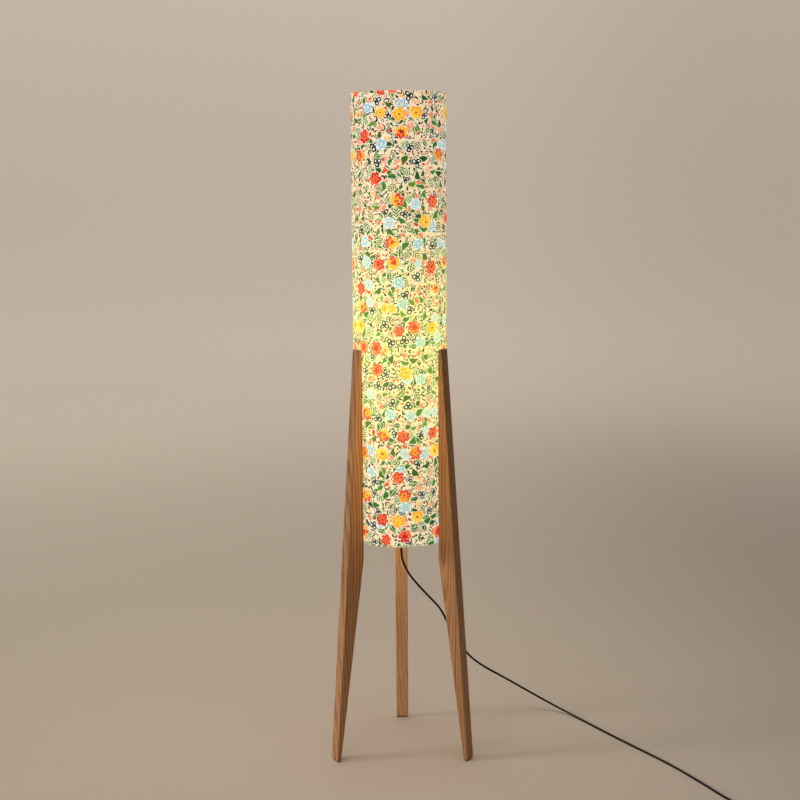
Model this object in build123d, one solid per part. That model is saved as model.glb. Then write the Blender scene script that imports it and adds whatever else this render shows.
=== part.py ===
"""Tripod floor lamp with a tall drum shade, in millimetres.

The origin is on the shade's axis at floor level, +Z is up and the lone rear leg stands on +Y.
Every sub-part is a node of its own in parts/.
"""
from build123d import *
import os
from math import cos, pi, radians, sin, tan

# ---------------------------------------------------------------- driving dimensions
TOTAL_HEIGHT = 1500.0        # floor to the shade's top edge
SHADE_RADIUS = 105.0         # outside of the fabric
SHADE_HEIGHT = 995.0
COVER_THICKNESS = 0.6        # printed fabric
LINER_THICKNESS = 0.8        # stiff translucent sheet behind the fabric
HEM_DEPTH = 9.0              # fabric turned in over each wire ring
WIRE_DIAMETER = 3.9          # the two rings that hold the drum round

LEG_AZIMUTHS = {"rear": 90.0, "front_left": 210.0, "front_right": 330.0}
LEG_OVERLAP = 438.0          # how far the legs run up beside the shade
LEG_THICKNESS = 30.0         # across the leg, along the shade's rim
LEG_TOP_WIDTH = 8.0          # radial width at the top end
LEG_FOOT_WIDTH = 10.5        # radial width at the foot
LEG_KINK_DROP = 38.0         # how far below the shade the inner edge starts to lean
LEG_EDGE_ROUND = 2.5
FOOT_RADIUS = 180.0          # shade axis to the outer edge of a foot
PAD_THICKNESS = 2.5
PAD_INSET = 1.8              # from the leg's outline to the felt pad's, all round
PAD_CORNER_SHARE = 0.45      # of the pad's width, so its ends are nearly half round

HOOP_STRIP = 2.0             # flat steel strip rolled into the two hoops
HOOP_HEIGHT = 20.0
UPPER_HOOP_DROP = 113.0      # from the legs' top ends down to the middle of the upper strip
LOWER_HOOP_RISE = 20.0       # from the shade's bottom edge up to the middle of the lower strip
ARM_WIDTH = 14.0
ARM_THICKNESS = 3.0
HUB_RADIUS = 17.0
ARM_AZIMUTHS = (30.0, 150.0, 270.0)

STEM_RADIUS = 5.0            # M10 hollow threaded tube
STEM_BORE_RADIUS = 3.75
STEM_NUT_FLATS = 14.0
STEM_NUT_HEIGHT = 3.0
STEM_WASHER_RADIUS = 10.0
WASHER_THICKNESS = 1.0

LEG_SCREW_RADIUS = 2.5       # M5
LEG_SCREW_LENGTH = 12.0      # under the head
LEG_SCREW_HEAD_RADIUS = 4.75
LEG_SCREW_HEAD_HEIGHT = 2.8
LEG_WASHER_RADIUS = 5.5
INSERT_RADIUS = 4.0          # brass threaded insert in the leg
INSERT_LENGTH = 10.0

GRIP_RADIUS = 9.0            # cord grip screwed to the stem's lower end
GRIP_HEIGHT = 14.0
GRIP_THREAD_DEPTH = 8.0
GRIP_EDGE_ROUND = 1.5
GRIP_GRUB_AZIMUTH = 30.0
GRUB_RADIUS = 1.5            # M3 grub screws in the cord grip and the holder's cap
GRUB_SINK = 0.4              # below the surface it is driven through
STRAIN_RELIEF_LENGTH = 26.0
STRAIN_RELIEF_TOP_WALL = 2.1  # rubber around the cord, here and in the other sleeves
SLEEVE_END_WALL = 0.8
STRAIN_RELIEF_LIP = 1.0      # collar at its top, wider by this much
STRAIN_RELIEF_LIP_HEIGHT = 2.0
LEAD_PROUD = 1.5             # sheath left standing above the stem

HOLDER_RADIUS = 20.0
HOLDER_WALL = 2.0
HOLDER_NECK_RADIUS = 9.0
HOLDER_NECK_HEIGHT = 7.5
HOLDER_THREAD_DEPTH = 10.5   # how far the stem runs into the cap
TERMINAL_ROOM = 0.5          # from the cap's outer shoulder up to the terminals
HOLDER_SHELL_HEIGHT = 28.0
INSERT_DISC_THICKNESS = 5.5
INSERT_DISC_DROP = 4.0       # from the cap's rim down to the insulating disc's top face
HOLDER_GRUB_AZIMUTH = 270.0
SCREW_SHELL_WALL = 0.5
SCREW_SHELL_DROP = 1.0       # its rim below the top of the bulb's cap
THREAD_PITCH = 3.63          # E26
THREAD_TURNS = 5
TONGUE_LENGTH = 15.0         # spring tongue under the bulb's tip
TONGUE_WIDTH = 5.0
TONGUE_HEIGHT = 2.0          # from the disc to the bulb's tip
TONGUE_THICKNESS = 0.6
TONGUE_SHIFT = 2.5
TONGUE_DOME_RADIUS = 2.6
TERMINAL_SIZE = 5.5
TERMINAL_OFFSET = 6.5        # holder axis to a terminal's inner side
TERMINAL_HOLE_RADIUS = 1.2
CORE_RADIUS = 1.0            # insulated cores of the lead
CORE_GAP = 1.2               # from a core's end to its terminal, so the slanted end clears it

BULB_LENGTH = 110.0          # A60 lamp with an E26 cap
BULB_RADIUS = 30.0
BULB_GLASS = 1.0
BULB_CAP_RADIUS = 13.0
BULB_CAP_LENGTH = 21.0
BULB_CAP_WALL = 0.4
BULB_TIP_LENGTH = 2.0
BULB_TIP_RADIUS = 4.2
BULB_INSULATOR_LENGTH = 3.0
BULB_CAP_TAPER = 3.0         # height of the cap's cone above the insulator
BULB_CAP_TAPER_IN = 3.8      # how much the cone draws in
BULB_TIP_ROUND = 0.8
BULB_COLLAR_LIP = 1.6        # wider than the cap by this much
BULB_COLLAR_WALL = 1.2       # around the glass neck
BULB_COLLAR_LENGTH = 5.0
BULB_COLLAR_ROUND = 1.0
BULB_COLLAR_SPIGOT = 6.0     # length glued into the cap
BULB_CROWN_ANGLE = 40.0      # below the bulb's equator, where crown and neck meet
MOUNT_FOOT_RADIUS = 5.5
MOUNT_RADIUS = 3.5
MOUNT_FOOT_HEIGHT = 8.0
MOUNT_DISC_THICKNESS = 2.0
FILAMENT_RADIUS = 0.9
FILAMENT_LENGTH = 30.0
FILAMENT_SPREAD = 8.0
FILAMENT_COUNT = 4

CORD_RADIUS = 2.5

SWITCH_LENGTH = 78.0
SWITCH_WIDTH = 38.0
SWITCH_CORNER = 14.0
SWITCH_WALL = 2.0
SWITCH_FOOT_HEIGHT = 1.0
SWITCH_SPLIT_Z = 8.0         # parting plane, and the height of the cord's axis
SWITCH_TOP_Z = 22.0
SWITCH_ROOF = 2.5
SWITCH_TOP_ROUND = 4.0
SWITCH_SLEEVE_LENGTH = 20.0
SWITCH_SLEEVE_WALL = 2.0     # rubber around the cord where the sleeve meets the case
SWITCH_CENTRE = (745.8, -415.4)
SWITCH_HEADING = -64.0       # direction of the cord through the switch, degrees from +X

BUTTON_RADIUS = 12.0
BUTTON_CLEARANCE = 0.3
BUTTON_PROUD = 4.5           # above the cover at rest
BUTTON_TRAVEL = 3.5
BUTTON_FLANGE = 1.6          # wider than the hole by this much
BUTTON_FLANGE_THICKNESS = 2.0
BUTTON_SKIRT = 4.0           # below the flange's top face
BUTTON_WALL = 3.0
BUTTON_EDGE_ROUND = 1.5
SPRING_RADIUS = 5.0
SPRING_WIRE = 0.5
SPRING_TURNS = 6
POST_RADIUS = 3.8
POST_HEIGHT = 6.0
SPRING_END_GAP = 0.1         # at each end of the spring
BRIDGE_THICKNESS = 0.8
BRIDGE_OVERLAP = 2.5         # how far the contact ring reaches outside the button's hollow
CONTACT_GAP = 0.2            # left between ring and bars when the button is down
BAR_LENGTH = 11.0
BAR_THICKNESS = 1.6
BAR_SHIFT = 9.5              # from the button's axis to a bar's middle, along the case
BAR_INSET = 1.6              # from the button's outline in to the bars' middle, across the case
SWITCH_TERMINAL = (6.0, 5.0, 5.0)
SWITCH_TERMINAL_GAP = 0.2    # from a bar's end to its terminal
SWITCH_SCREW_INSET = (12.0, 9.0)  # from the case's end and from its side
SWITCH_SCREW_RADIUS = 1.3
SWITCH_SCREW_HEAD_RADIUS = 2.6
SWITCH_SCREW_HEAD_HEIGHT = 1.5
SWITCH_SCREW_HEAD_SINK = 0.3
SWITCH_SCREW_SHORT = 4.0     # from the cover's inside down to the screw's end
PILOT_SHORT = 2.0            # the same for the pilot hole
BOSS_RADIUS = 3.0
SWITCH_FOOT_INSET = (21.0, 5.0)
SWITCH_FOOT_RADIUS = 3.0
SWITCH_CORD_GAP = 3.8        # along the case, from a terminal to the cord's sheath

COIL_CENTRE = (764.3, -527.6)
COIL_RADIUS = 30.0           # to the middle of the turns
TIE_THICKNESS = 0.8
TIE_GAP = 0.1                # between tie and cord, and between tie and floor
TIE_INNER_ROUND = 1.2
TIE_ANGLE = 18.0
TIE_AZIMUTH = 60.0

PLUG_AT = (664.0, -538.0)    # outer end of the plug's sleeve, where the cord enters
PLUG_HEADING = 160.0
PLUG_SLEEVE_LENGTH = 24.0
PLUG_SLEEVE_WALL = 3.0       # rubber around the cord where the sleeve meets the body
PLUG_LENGTH = 30.0
PLUG_WIDTH = 24.0
PLUG_HEIGHT = 15.0
PLUG_ROUND = 3.0
BLADE_LENGTH = 17.5
BLADE_ROOT = 8.0             # inside the body
BLADE_WIDTH = 6.35
BLADE_THICKNESS = 1.5
BLADE_SPACING = 12.7
BLADE_CHAMFER = 0.35
BLADE_HOLE_RADIUS = 1.6
BLADE_HOLE_INSET = 4.5

SEAT_GAP = 0.05              # between faces that bear on each other
THREAD_GAP = 0.05            # radial, for threads drawn as plain cylinders
HOLE_GAP = 0.25              # radial, for a screw passing through a plain hole

# The free cord from the strain relief to the foot switch: down, out behind the
# right leg, on to the floor and away to the front. Its last run lies on the switch's axis.
CORD_TO_SWITCH = [
    (0.0, 0.0, 479.5),
    (0.0, 0.0, 456.0),
    (9.0, 5.0, 430.0),
    (20.5, 14.0, 406.0),
    (40.0, 29.0, 378.0),
    (66.0, 50.5, 343.0),
    (93.0, 75.0, 308.0),
    (110.5, 94.0, 264.0),
    (135.0, 117.0, 212.0),
    (167.0, 138.5, 164.0),
    (207.0, 157.0, 130.0),
    (248.0, 178.0, 100.5),
    (290.0, 201.0, 68.0),
    (332.0, 213.5, 39.0),
    (373.0, 207.5, 17.0),
    (411.0, 180.0, 5.0),
    (443.0, 132.9, 2.6),
    (473.1, 82.2, 2.6),
    (502.8, 33.5, 2.6),
    (531.4, -12.3, 2.6),
    (560.0, -57.0, 2.6),
    (588.2, -101.9, 2.6),
    (614.6, -146.7, 2.6),
    (640.2, -196.5, 2.6),
    (664.6, -246.9, 2.6),
    (688.3, -297.7, 2.6),
    (699.5, -321.2, 3.6),
    (710.292, -342.598, 8.0),
    (719.936, -362.371, 8.0),
]
# From the switch's far sleeve down on to the floor and into the coil, whose outer
# lower turn the last point touches.
CORD_TO_COIL = [
    (771.664, -468.429, 8.0),
    (778.678, -482.81, 8.0),
    (786.2, -498.1, 4.6),
    (793.5, -513.4, 3.5),
]
# From the coil's outer upper turn down to the floor and up into the plug's sleeve.
CORD_TO_PLUG = [
    (764.3, -560.1, 8.5),
    (744.0, -560.1, 7.0),
    (722.0, -558.0, 3.4),
    (700.0, -551.5, 3.6),
    (681.854, -544.498, 7.5),
    (664.0, -538.0, 7.5),
]

# ---------------------------------------------------------------- derived dimensions
SHADE_BOTTOM = TOTAL_HEIGHT - SHADE_HEIGHT
COVER_INNER = SHADE_RADIUS - COVER_THICKNESS
LINER_OUTER = COVER_INNER - SEAT_GAP
LINER_INNER = LINER_OUTER - LINER_THICKNESS
WIRE_CENTRE_RADIUS = LINER_INNER - SEAT_GAP - WIRE_DIAMETER / 2
HEM_OUTER = WIRE_CENTRE_RADIUS - WIRE_DIAMETER / 2 - SEAT_GAP
HOOP_OUTER = LINER_INNER - SEAT_GAP
HOOP_INNER = HOOP_OUTER - HOOP_STRIP

LEG_INNER = SHADE_RADIUS + SEAT_GAP
LEG_TOP = SHADE_BOTTOM + LEG_OVERLAP
LEG_KINK = SHADE_BOTTOM - LEG_KINK_DROP
LEG_BOTTOM = PAD_THICKNESS
UPPER_HOOP_Z = LEG_TOP - UPPER_HOOP_DROP
LOWER_HOOP_Z = SHADE_BOTTOM + LOWER_HOOP_RISE

NUT_OUTER_OFFSET = ARM_THICKNESS / 2 + WASHER_THICKNESS + STEM_NUT_HEIGHT
GRIP_TOP = LOWER_HOOP_Z - NUT_OUTER_OFFSET
GRIP_BOTTOM = GRIP_TOP - GRIP_HEIGHT
CORD_EXIT_Z = GRIP_BOTTOM - STRAIN_RELIEF_LENGTH
STEM_BOTTOM = GRIP_TOP - GRIP_THREAD_DEPTH
HOLDER_BOTTOM = UPPER_HOOP_Z + NUT_OUTER_OFFSET
STEM_TOP = HOLDER_BOTTOM + HOLDER_THREAD_DEPTH
HOLDER_SHOULDER = HOLDER_BOTTOM + 2 * HOLDER_NECK_HEIGHT
INSERT_DISC_TOP = HOLDER_SHOULDER + TERMINAL_ROOM + TERMINAL_SIZE + INSERT_DISC_THICKNESS
HOLDER_RIM = INSERT_DISC_TOP + INSERT_DISC_DROP
BULB_BOTTOM = INSERT_DISC_TOP + TONGUE_HEIGHT
BULB_TOP = BULB_BOTTOM + BULB_LENGTH
BULB_CENTRE = BULB_TOP - BULB_RADIUS
BULB_CAP_BOTTOM = BULB_BOTTOM + BULB_TIP_LENGTH + BULB_INSULATOR_LENGTH
BULB_CAP_TOP = BULB_CAP_BOTTOM + BULB_CAP_LENGTH
BULB_CAP_END_RADIUS = BULB_CAP_RADIUS - BULB_CAP_TAPER_IN
BULB_COLLAR_RADIUS = BULB_CAP_RADIUS + BULB_COLLAR_LIP
BULB_NECK_RADIUS = BULB_COLLAR_RADIUS - BULB_COLLAR_WALL

SLEEVE_END_RADIUS = CORD_RADIUS + SLEEVE_END_WALL
COIL_SECTION = 4 * CORD_RADIUS
COIL_MIDDLE_Z = TIE_THICKNESS + 2 * TIE_GAP + COIL_SECTION / 2

UP = (Align.CENTER, Align.CENTER, Align.MIN)


# ---------------------------------------------------------------- shared helpers
def save(name, *solids):
    """Write one node, a single solid or a group of separate ones."""
    shape = solids[0] if len(solids) == 1 else Compound(children=list(solids))
    shape.label = name
    export_step(shape, f"parts/{name}.step")


def post(radius, bottom, top, centre=(0, 0)):
    """An upright cylinder between two heights."""
    return Pos(*centre, bottom) * Cylinder(radius, top - bottom, align=UP)


def ring(outer, inner, bottom, top):
    """An upright tube between two heights."""
    return post(outer, bottom, top) - post(inner, bottom, top)


def cone(bottom_radius, top_radius, bottom, top):
    """An upright truncated cone between two heights."""
    return Pos(0, 0, bottom) * Cone(bottom_radius, top_radius, top - bottom, align=UP)


def turned(*outline):
    """A body of revolution about Z from an outline of (radius, height) points."""
    return revolve(make_face(Plane.XZ * Polyline(*outline, close=True)), Axis.Z)


def outward(azimuth, distance, height):
    """The place that turns +Z to point away from the lamp's axis, at a distance from it."""
    return Rot(0, 0, azimuth) * Pos(distance, 0, height) * Rot(0, 90, 0)


def radial_post(radius, start, end, azimuth, height):
    """A cylinder along a radius of the lamp, between two distances from its axis."""
    return outward(azimuth, start, height) * Cylinder(radius, end - start, align=UP)


def at_each_leg_screw(make):
    """One piece for each screw through a hoop into a leg."""
    return [make(azimuth, z) for azimuth in LEG_AZIMUTHS.values() for z in (UPPER_HOOP_Z, LOWER_HOOP_Z)]


def cord_tube(name, points):
    """A round cord along straight runs joined by arcs as large as the runs allow."""
    corners = [Vector(*point) for point in points]
    radii = []
    for before, corner, after in zip(corners, corners[1:], corners[2:]):
        run_in, run_out = corner - before, after - corner
        turn = radians(run_in.get_angle(run_out))
        radii.append(0.45 * min(run_in.length, run_out.length) / tan(turn / 2))
    path = FilletPolyline(*corners, radius=radii)
    section = Plane(origin=path @ 0, z_dir=path % 0) * Circle(CORD_RADIUS)
    tube = sweep(section, path=path)
    ratio = tube.volume / (pi * CORD_RADIUS**2 * path.length)
    print(f"{name}: length {path.length:.0f}, volume / (section x length) {ratio:.4f}")
    print("  arc radii", " ".join(f"{radius:.0f}" for radius in radii))
    return tube


# ---------------------------------------------------------------- legs
def leg_outer_radius(height):
    """Distance from the shade's axis to a leg's outer edge."""
    top = LEG_INNER + LEG_TOP_WIDTH
    return top + (FOOT_RADIUS - top) * (LEG_TOP - height) / LEG_TOP


def leg(azimuth):
    """A tapered leg with a straight outer edge, its inner edge upright along the shade."""
    foot_outer = leg_outer_radius(LEG_BOTTOM)
    outline = Polyline(
        (LEG_INNER, 0, LEG_TOP),
        (LEG_INNER + LEG_TOP_WIDTH, 0, LEG_TOP),
        (foot_outer, 0, LEG_BOTTOM),
        (foot_outer - LEG_FOOT_WIDTH, 0, LEG_BOTTOM),
        (LEG_INNER, 0, LEG_KINK),
        close=True,
    )
    blank = extrude(make_face(outline), amount=LEG_THICKNESS / 2, both=True)
    body = Rot(0, 0, azimuth) * fillet(blank.edges(), LEG_EDGE_ROUND)
    for z in (UPPER_HOOP_Z, LOWER_HOOP_Z):
        body -= radial_post(INSERT_RADIUS, SHADE_RADIUS, LEG_INNER + INSERT_LENGTH, azimuth, z)
    return body


def foot_pad(azimuth):
    """A felt pad under a leg, rounded at its ends."""
    length = LEG_THICKNESS - 2 * PAD_INSET
    width = LEG_FOOT_WIDTH - 2 * PAD_INSET
    middle = leg_outer_radius(LEG_BOTTOM) - LEG_FOOT_WIDTH / 2
    outline = Pos(middle, 0) * RectangleRounded(width, length, PAD_CORNER_SHARE * width)
    return Rot(0, 0, azimuth) * extrude(outline, PAD_THICKNESS)


def make_legs():
    for place, azimuth in LEG_AZIMUTHS.items():
        save(f"leg_{place}", leg(azimuth))
        save(f"foot_pad_{place}", foot_pad(azimuth))

    def insert(azimuth, z):
        blank = radial_post(INSERT_RADIUS, LEG_INNER, LEG_INNER + INSERT_LENGTH, azimuth, z)
        return blank - radial_post(LEG_SCREW_RADIUS + THREAD_GAP, SHADE_RADIUS, FOOT_RADIUS, azimuth, z)

    # A flat washer bears on the hoop's hollow face along its two edges.
    washer_face = (HOOP_INNER**2 - LEG_WASHER_RADIUS**2) ** 0.5 - SEAT_GAP

    def washer(azimuth, z):
        blank = radial_post(LEG_WASHER_RADIUS, washer_face - WASHER_THICKNESS, washer_face, azimuth, z)
        return blank - radial_post(LEG_SCREW_RADIUS + HOLE_GAP, 0, SHADE_RADIUS, azimuth, z)

    head_face = washer_face - WASHER_THICKNESS

    def screw(azimuth, z):
        head = post(LEG_SCREW_HEAD_RADIUS, -LEG_SCREW_HEAD_HEIGHT, 0)
        head = fillet(head.edges().sort_by(Axis.Z)[0], LEG_SCREW_HEAD_HEIGHT / 2)
        body = head + post(LEG_SCREW_RADIUS, 0, LEG_SCREW_LENGTH)
        return outward(azimuth, head_face, z) * body

    save("leg_inserts", *at_each_leg_screw(insert))
    save("leg_washers", *at_each_leg_screw(washer))
    save("leg_screws", *at_each_leg_screw(screw))


# ---------------------------------------------------------------- shade
def with_screw_holes(wall):
    """Drill a wall of the drum for the screws into the legs."""
    for azimuth in LEG_AZIMUTHS.values():
        for z in (UPPER_HOOP_Z, LOWER_HOOP_Z):
            wall -= radial_post(LEG_SCREW_RADIUS + HOLE_GAP, HOOP_INNER - HOOP_STRIP, LEG_INNER, azimuth, z)
    return wall


def make_shade():
    bottom, top = SHADE_BOTTOM, TOTAL_HEIGHT
    hem_inner = HEM_OUTER - COVER_THICKNESS
    cover = turned(
        (SHADE_RADIUS, bottom),
        (SHADE_RADIUS, top),
        (hem_inner, top),
        (hem_inner, top - HEM_DEPTH),
        (HEM_OUTER, top - HEM_DEPTH),
        (HEM_OUTER, top - COVER_THICKNESS),
        (COVER_INNER, top - COVER_THICKNESS),
        (COVER_INNER, bottom + COVER_THICKNESS),
        (HEM_OUTER, bottom + COVER_THICKNESS),
        (HEM_OUTER, bottom + HEM_DEPTH),
        (hem_inner, bottom + HEM_DEPTH),
        (hem_inner, bottom),
    )
    save("shade_cover", with_screw_holes(cover))
    edge = COVER_THICKNESS + SEAT_GAP
    save("shade_liner", with_screw_holes(ring(LINER_OUTER, LINER_INNER, bottom + edge, top - edge)))
    wire = Torus(WIRE_CENTRE_RADIUS, WIRE_DIAMETER / 2)
    save("shade_bottom_ring", Pos(0, 0, bottom + edge + WIRE_DIAMETER / 2) * wire)
    save("shade_top_ring", Pos(0, 0, top - edge - WIRE_DIAMETER / 2) * wire)


# ---------------------------------------------------------------- frame
def spider(z):
    """A hoop of flat strip with three arms welded to a hub plate."""
    body = ring(HOOP_OUTER, HOOP_INNER, z - HOOP_HEIGHT / 2, z + HOOP_HEIGHT / 2)
    reach = HOOP_INNER + HOOP_STRIP / 2
    for azimuth in ARM_AZIMUTHS:
        body += Rot(0, 0, azimuth) * Pos(reach / 2, 0, z) * Box(reach, ARM_WIDTH, ARM_THICKNESS)
    body += post(HUB_RADIUS, z - ARM_THICKNESS / 2, z + ARM_THICKNESS / 2)
    body -= post(STEM_RADIUS + HOLE_GAP, z - ARM_THICKNESS, z + ARM_THICKNESS)
    return with_screw_holes(body)


def make_frame():
    save("upper_spider", spider(UPPER_HOOP_Z))
    save("lower_spider", spider(LOWER_HOOP_Z))
    save("stem_tube", ring(STEM_RADIUS, STEM_BORE_RADIUS, STEM_BOTTOM, STEM_TOP))

    washers, nuts = [], []
    hexagon = RegularPolygon(STEM_NUT_FLATS / 2, 6, major_radius=False)
    for z in (UPPER_HOOP_Z, LOWER_HOOP_Z):
        for side in (-1, 1):
            near = z + side * ARM_THICKNESS / 2
            far = near + side * WASHER_THICKNESS
            low, high = sorted((near, far))
            washers.append(ring(STEM_WASHER_RADIUS, STEM_RADIUS + HOLE_GAP, low, high))
            nut_bottom = min(far, far + side * STEM_NUT_HEIGHT)
            nut = Pos(0, 0, nut_bottom) * extrude(hexagon, STEM_NUT_HEIGHT)
            nuts.append(nut - post(STEM_RADIUS + THREAD_GAP, nut_bottom, nut_bottom + STEM_NUT_HEIGHT))
    save("stem_washers", *washers)
    save("stem_nuts", *nuts)


# ---------------------------------------------------------------- cord grip and lead
def make_lead():
    grub_z = (GRIP_BOTTOM + STEM_BOTTOM) / 2
    grip = post(GRIP_RADIUS, GRIP_BOTTOM, GRIP_TOP)
    grip = fillet(grip.edges().sort_by(Axis.Z)[0], GRIP_EDGE_ROUND)
    grip -= post(STEM_RADIUS + THREAD_GAP, STEM_BOTTOM, GRIP_TOP)
    grip -= post(CORD_RADIUS + SEAT_GAP, GRIP_BOTTOM, GRIP_TOP)
    grip -= radial_post(GRUB_RADIUS + THREAD_GAP, 0, GRIP_RADIUS, GRIP_GRUB_AZIMUTH, grub_z)
    save("cord_grip", grip)
    grub_end = GRIP_RADIUS - GRUB_SINK
    save("cord_grip_screw",
         radial_post(GRUB_RADIUS, CORD_RADIUS + SEAT_GAP, grub_end, GRIP_GRUB_AZIMUTH, grub_z))

    top_radius = CORD_RADIUS + STRAIN_RELIEF_TOP_WALL
    sleeve = cone(SLEEVE_END_RADIUS, top_radius, CORD_EXIT_Z, GRIP_BOTTOM)
    collar = post(top_radius + STRAIN_RELIEF_LIP, GRIP_BOTTOM - STRAIN_RELIEF_LIP_HEIGHT, GRIP_BOTTOM)
    save("strain_relief", sleeve + collar - post(CORD_RADIUS + SEAT_GAP, CORD_EXIT_Z, GRIP_BOTTOM))

    lead_top = STEM_TOP + LEAD_PROUD
    save("lead_in_stem", post(CORD_RADIUS, CORD_EXIT_Z, lead_top))
    core_end = TERMINAL_OFFSET - CORE_GAP
    terminal_z = INSERT_DISC_TOP - INSERT_DISC_THICKNESS - TERMINAL_SIZE / 2
    cores = []
    for side in (-1, 1):
        start = Vector(side * CORD_RADIUS / 2, 0, lead_top + CORE_RADIUS)
        end = Vector(side * core_end, 0, terminal_z)
        line = Line(start, end)
        cores.append(sweep(Plane(origin=start, z_dir=line % 0) * Circle(CORE_RADIUS), path=line))
    save("lead_cores", *cores)


# ---------------------------------------------------------------- lampholder
def make_holder():
    bottom, rim = HOLDER_BOTTOM, HOLDER_RIM
    inner = HOLDER_RADIUS - HOLDER_WALL
    neck_top = bottom + HOLDER_NECK_HEIGHT
    cap = turned(
        (STEM_RADIUS + THREAD_GAP, bottom),
        (HOLDER_NECK_RADIUS, bottom),
        (HOLDER_NECK_RADIUS, neck_top),
        (HOLDER_RADIUS, HOLDER_SHOULDER),
        (HOLDER_RADIUS, rim),
        (inner, rim),
        (inner, HOLDER_SHOULDER + HOLDER_WALL),
        (HOLDER_NECK_RADIUS - HOLDER_WALL / 2, STEM_TOP),
        (STEM_RADIUS + THREAD_GAP, STEM_TOP),
    )
    grub_z = bottom + HOLDER_NECK_HEIGHT / 2
    cap -= radial_post(GRUB_RADIUS + THREAD_GAP, 0, HOLDER_RADIUS, HOLDER_GRUB_AZIMUTH, grub_z)
    save("holder_cap", cap)
    grub_end = HOLDER_NECK_RADIUS - GRUB_SINK
    save("holder_cap_screw",
         radial_post(GRUB_RADIUS, STEM_RADIUS + SEAT_GAP, grub_end, HOLDER_GRUB_AZIMUTH, grub_z))

    # The skirt stands on the cap's rim; the insulator's raised edge locates it.
    skirt_top = rim + HOLDER_SHELL_HEIGHT
    skirt = fillet(post(HOLDER_RADIUS, rim, skirt_top).edges().sort_by(Axis.Z)[-1], HOLDER_WALL / 2)
    save("holder_skirt", skirt - post(inner, rim, skirt_top))

    disc_bottom = INSERT_DISC_TOP - INSERT_DISC_THICKNESS
    shell_inner = BULB_CAP_RADIUS + HOLE_GAP
    shell_outer = shell_inner + SCREW_SHELL_WALL
    disc = post(inner - SEAT_GAP, disc_bottom, INSERT_DISC_TOP)
    disc += ring(inner - SEAT_GAP, shell_outer + SEAT_GAP, INSERT_DISC_TOP, rim + HOLDER_WALL)
    save("holder_insulator", disc)
    shell = ring(shell_outer, shell_inner, INSERT_DISC_TOP, BULB_CAP_TOP - SCREW_SHELL_DROP)
    for turn in range(THREAD_TURNS):
        groove_z = INSERT_DISC_TOP + (turn + 1) * THREAD_PITCH
        shell -= Pos(0, 0, groove_z) * Torus(shell_outer, SCREW_SHELL_WALL / 2)
    save("holder_screw_shell", shell)
    strip = Box(TONGUE_LENGTH, TONGUE_WIDTH, TONGUE_THICKNESS, align=UP)
    tongue = Pos(TONGUE_SHIFT, 0, INSERT_DISC_TOP) * strip
    tongue += post(TONGUE_DOME_RADIUS, INSERT_DISC_TOP, BULB_BOTTOM - SEAT_GAP)
    save("holder_centre_contact", tongue)
    middle = TERMINAL_OFFSET + TERMINAL_SIZE / 2
    block = Box(TERMINAL_SIZE, TERMINAL_SIZE, TERMINAL_SIZE, align=UP)
    terminals = []
    for side in (-1, 1):
        terminal = Pos(side * middle, 0, disc_bottom - TERMINAL_SIZE) * block
        hole_top = disc_bottom - TERMINAL_SIZE / 2
        terminal -= post(TERMINAL_HOLE_RADIUS, disc_bottom - TERMINAL_SIZE, hole_top, (side * middle, 0))
        terminals.append(terminal)
    save("holder_terminals", *terminals)


# ---------------------------------------------------------------- bulb
def bulb_outline(inset):
    """Half of the glass outline: a round crown running into a narrower neck."""
    radius = BULB_RADIUS - inset
    leave = radians(BULB_CROWN_ANGLE)
    across, down = radius * cos(leave), radius * sin(leave)
    crown_end = (across, 0, BULB_CENTRE - down)
    neck_end = (BULB_NECK_RADIUS - inset, 0, BULB_CAP_TOP + BULB_COLLAR_LENGTH / 2)
    crown = ThreePointArc((0, 0, BULB_CENTRE + radius), (across, 0, BULB_CENTRE + down), crown_end)
    neck = Spline(crown_end, neck_end, tangents=[(-sin(leave), 0, -cos(leave)), (0, 0, -1)])
    floor = Line(neck_end, (0, 0, neck_end[2]))
    axis = Line((0, 0, neck_end[2]), (0, 0, BULB_CENTRE + radius))
    return revolve(make_face([crown, neck, floor, axis]), Axis.Z)


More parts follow.
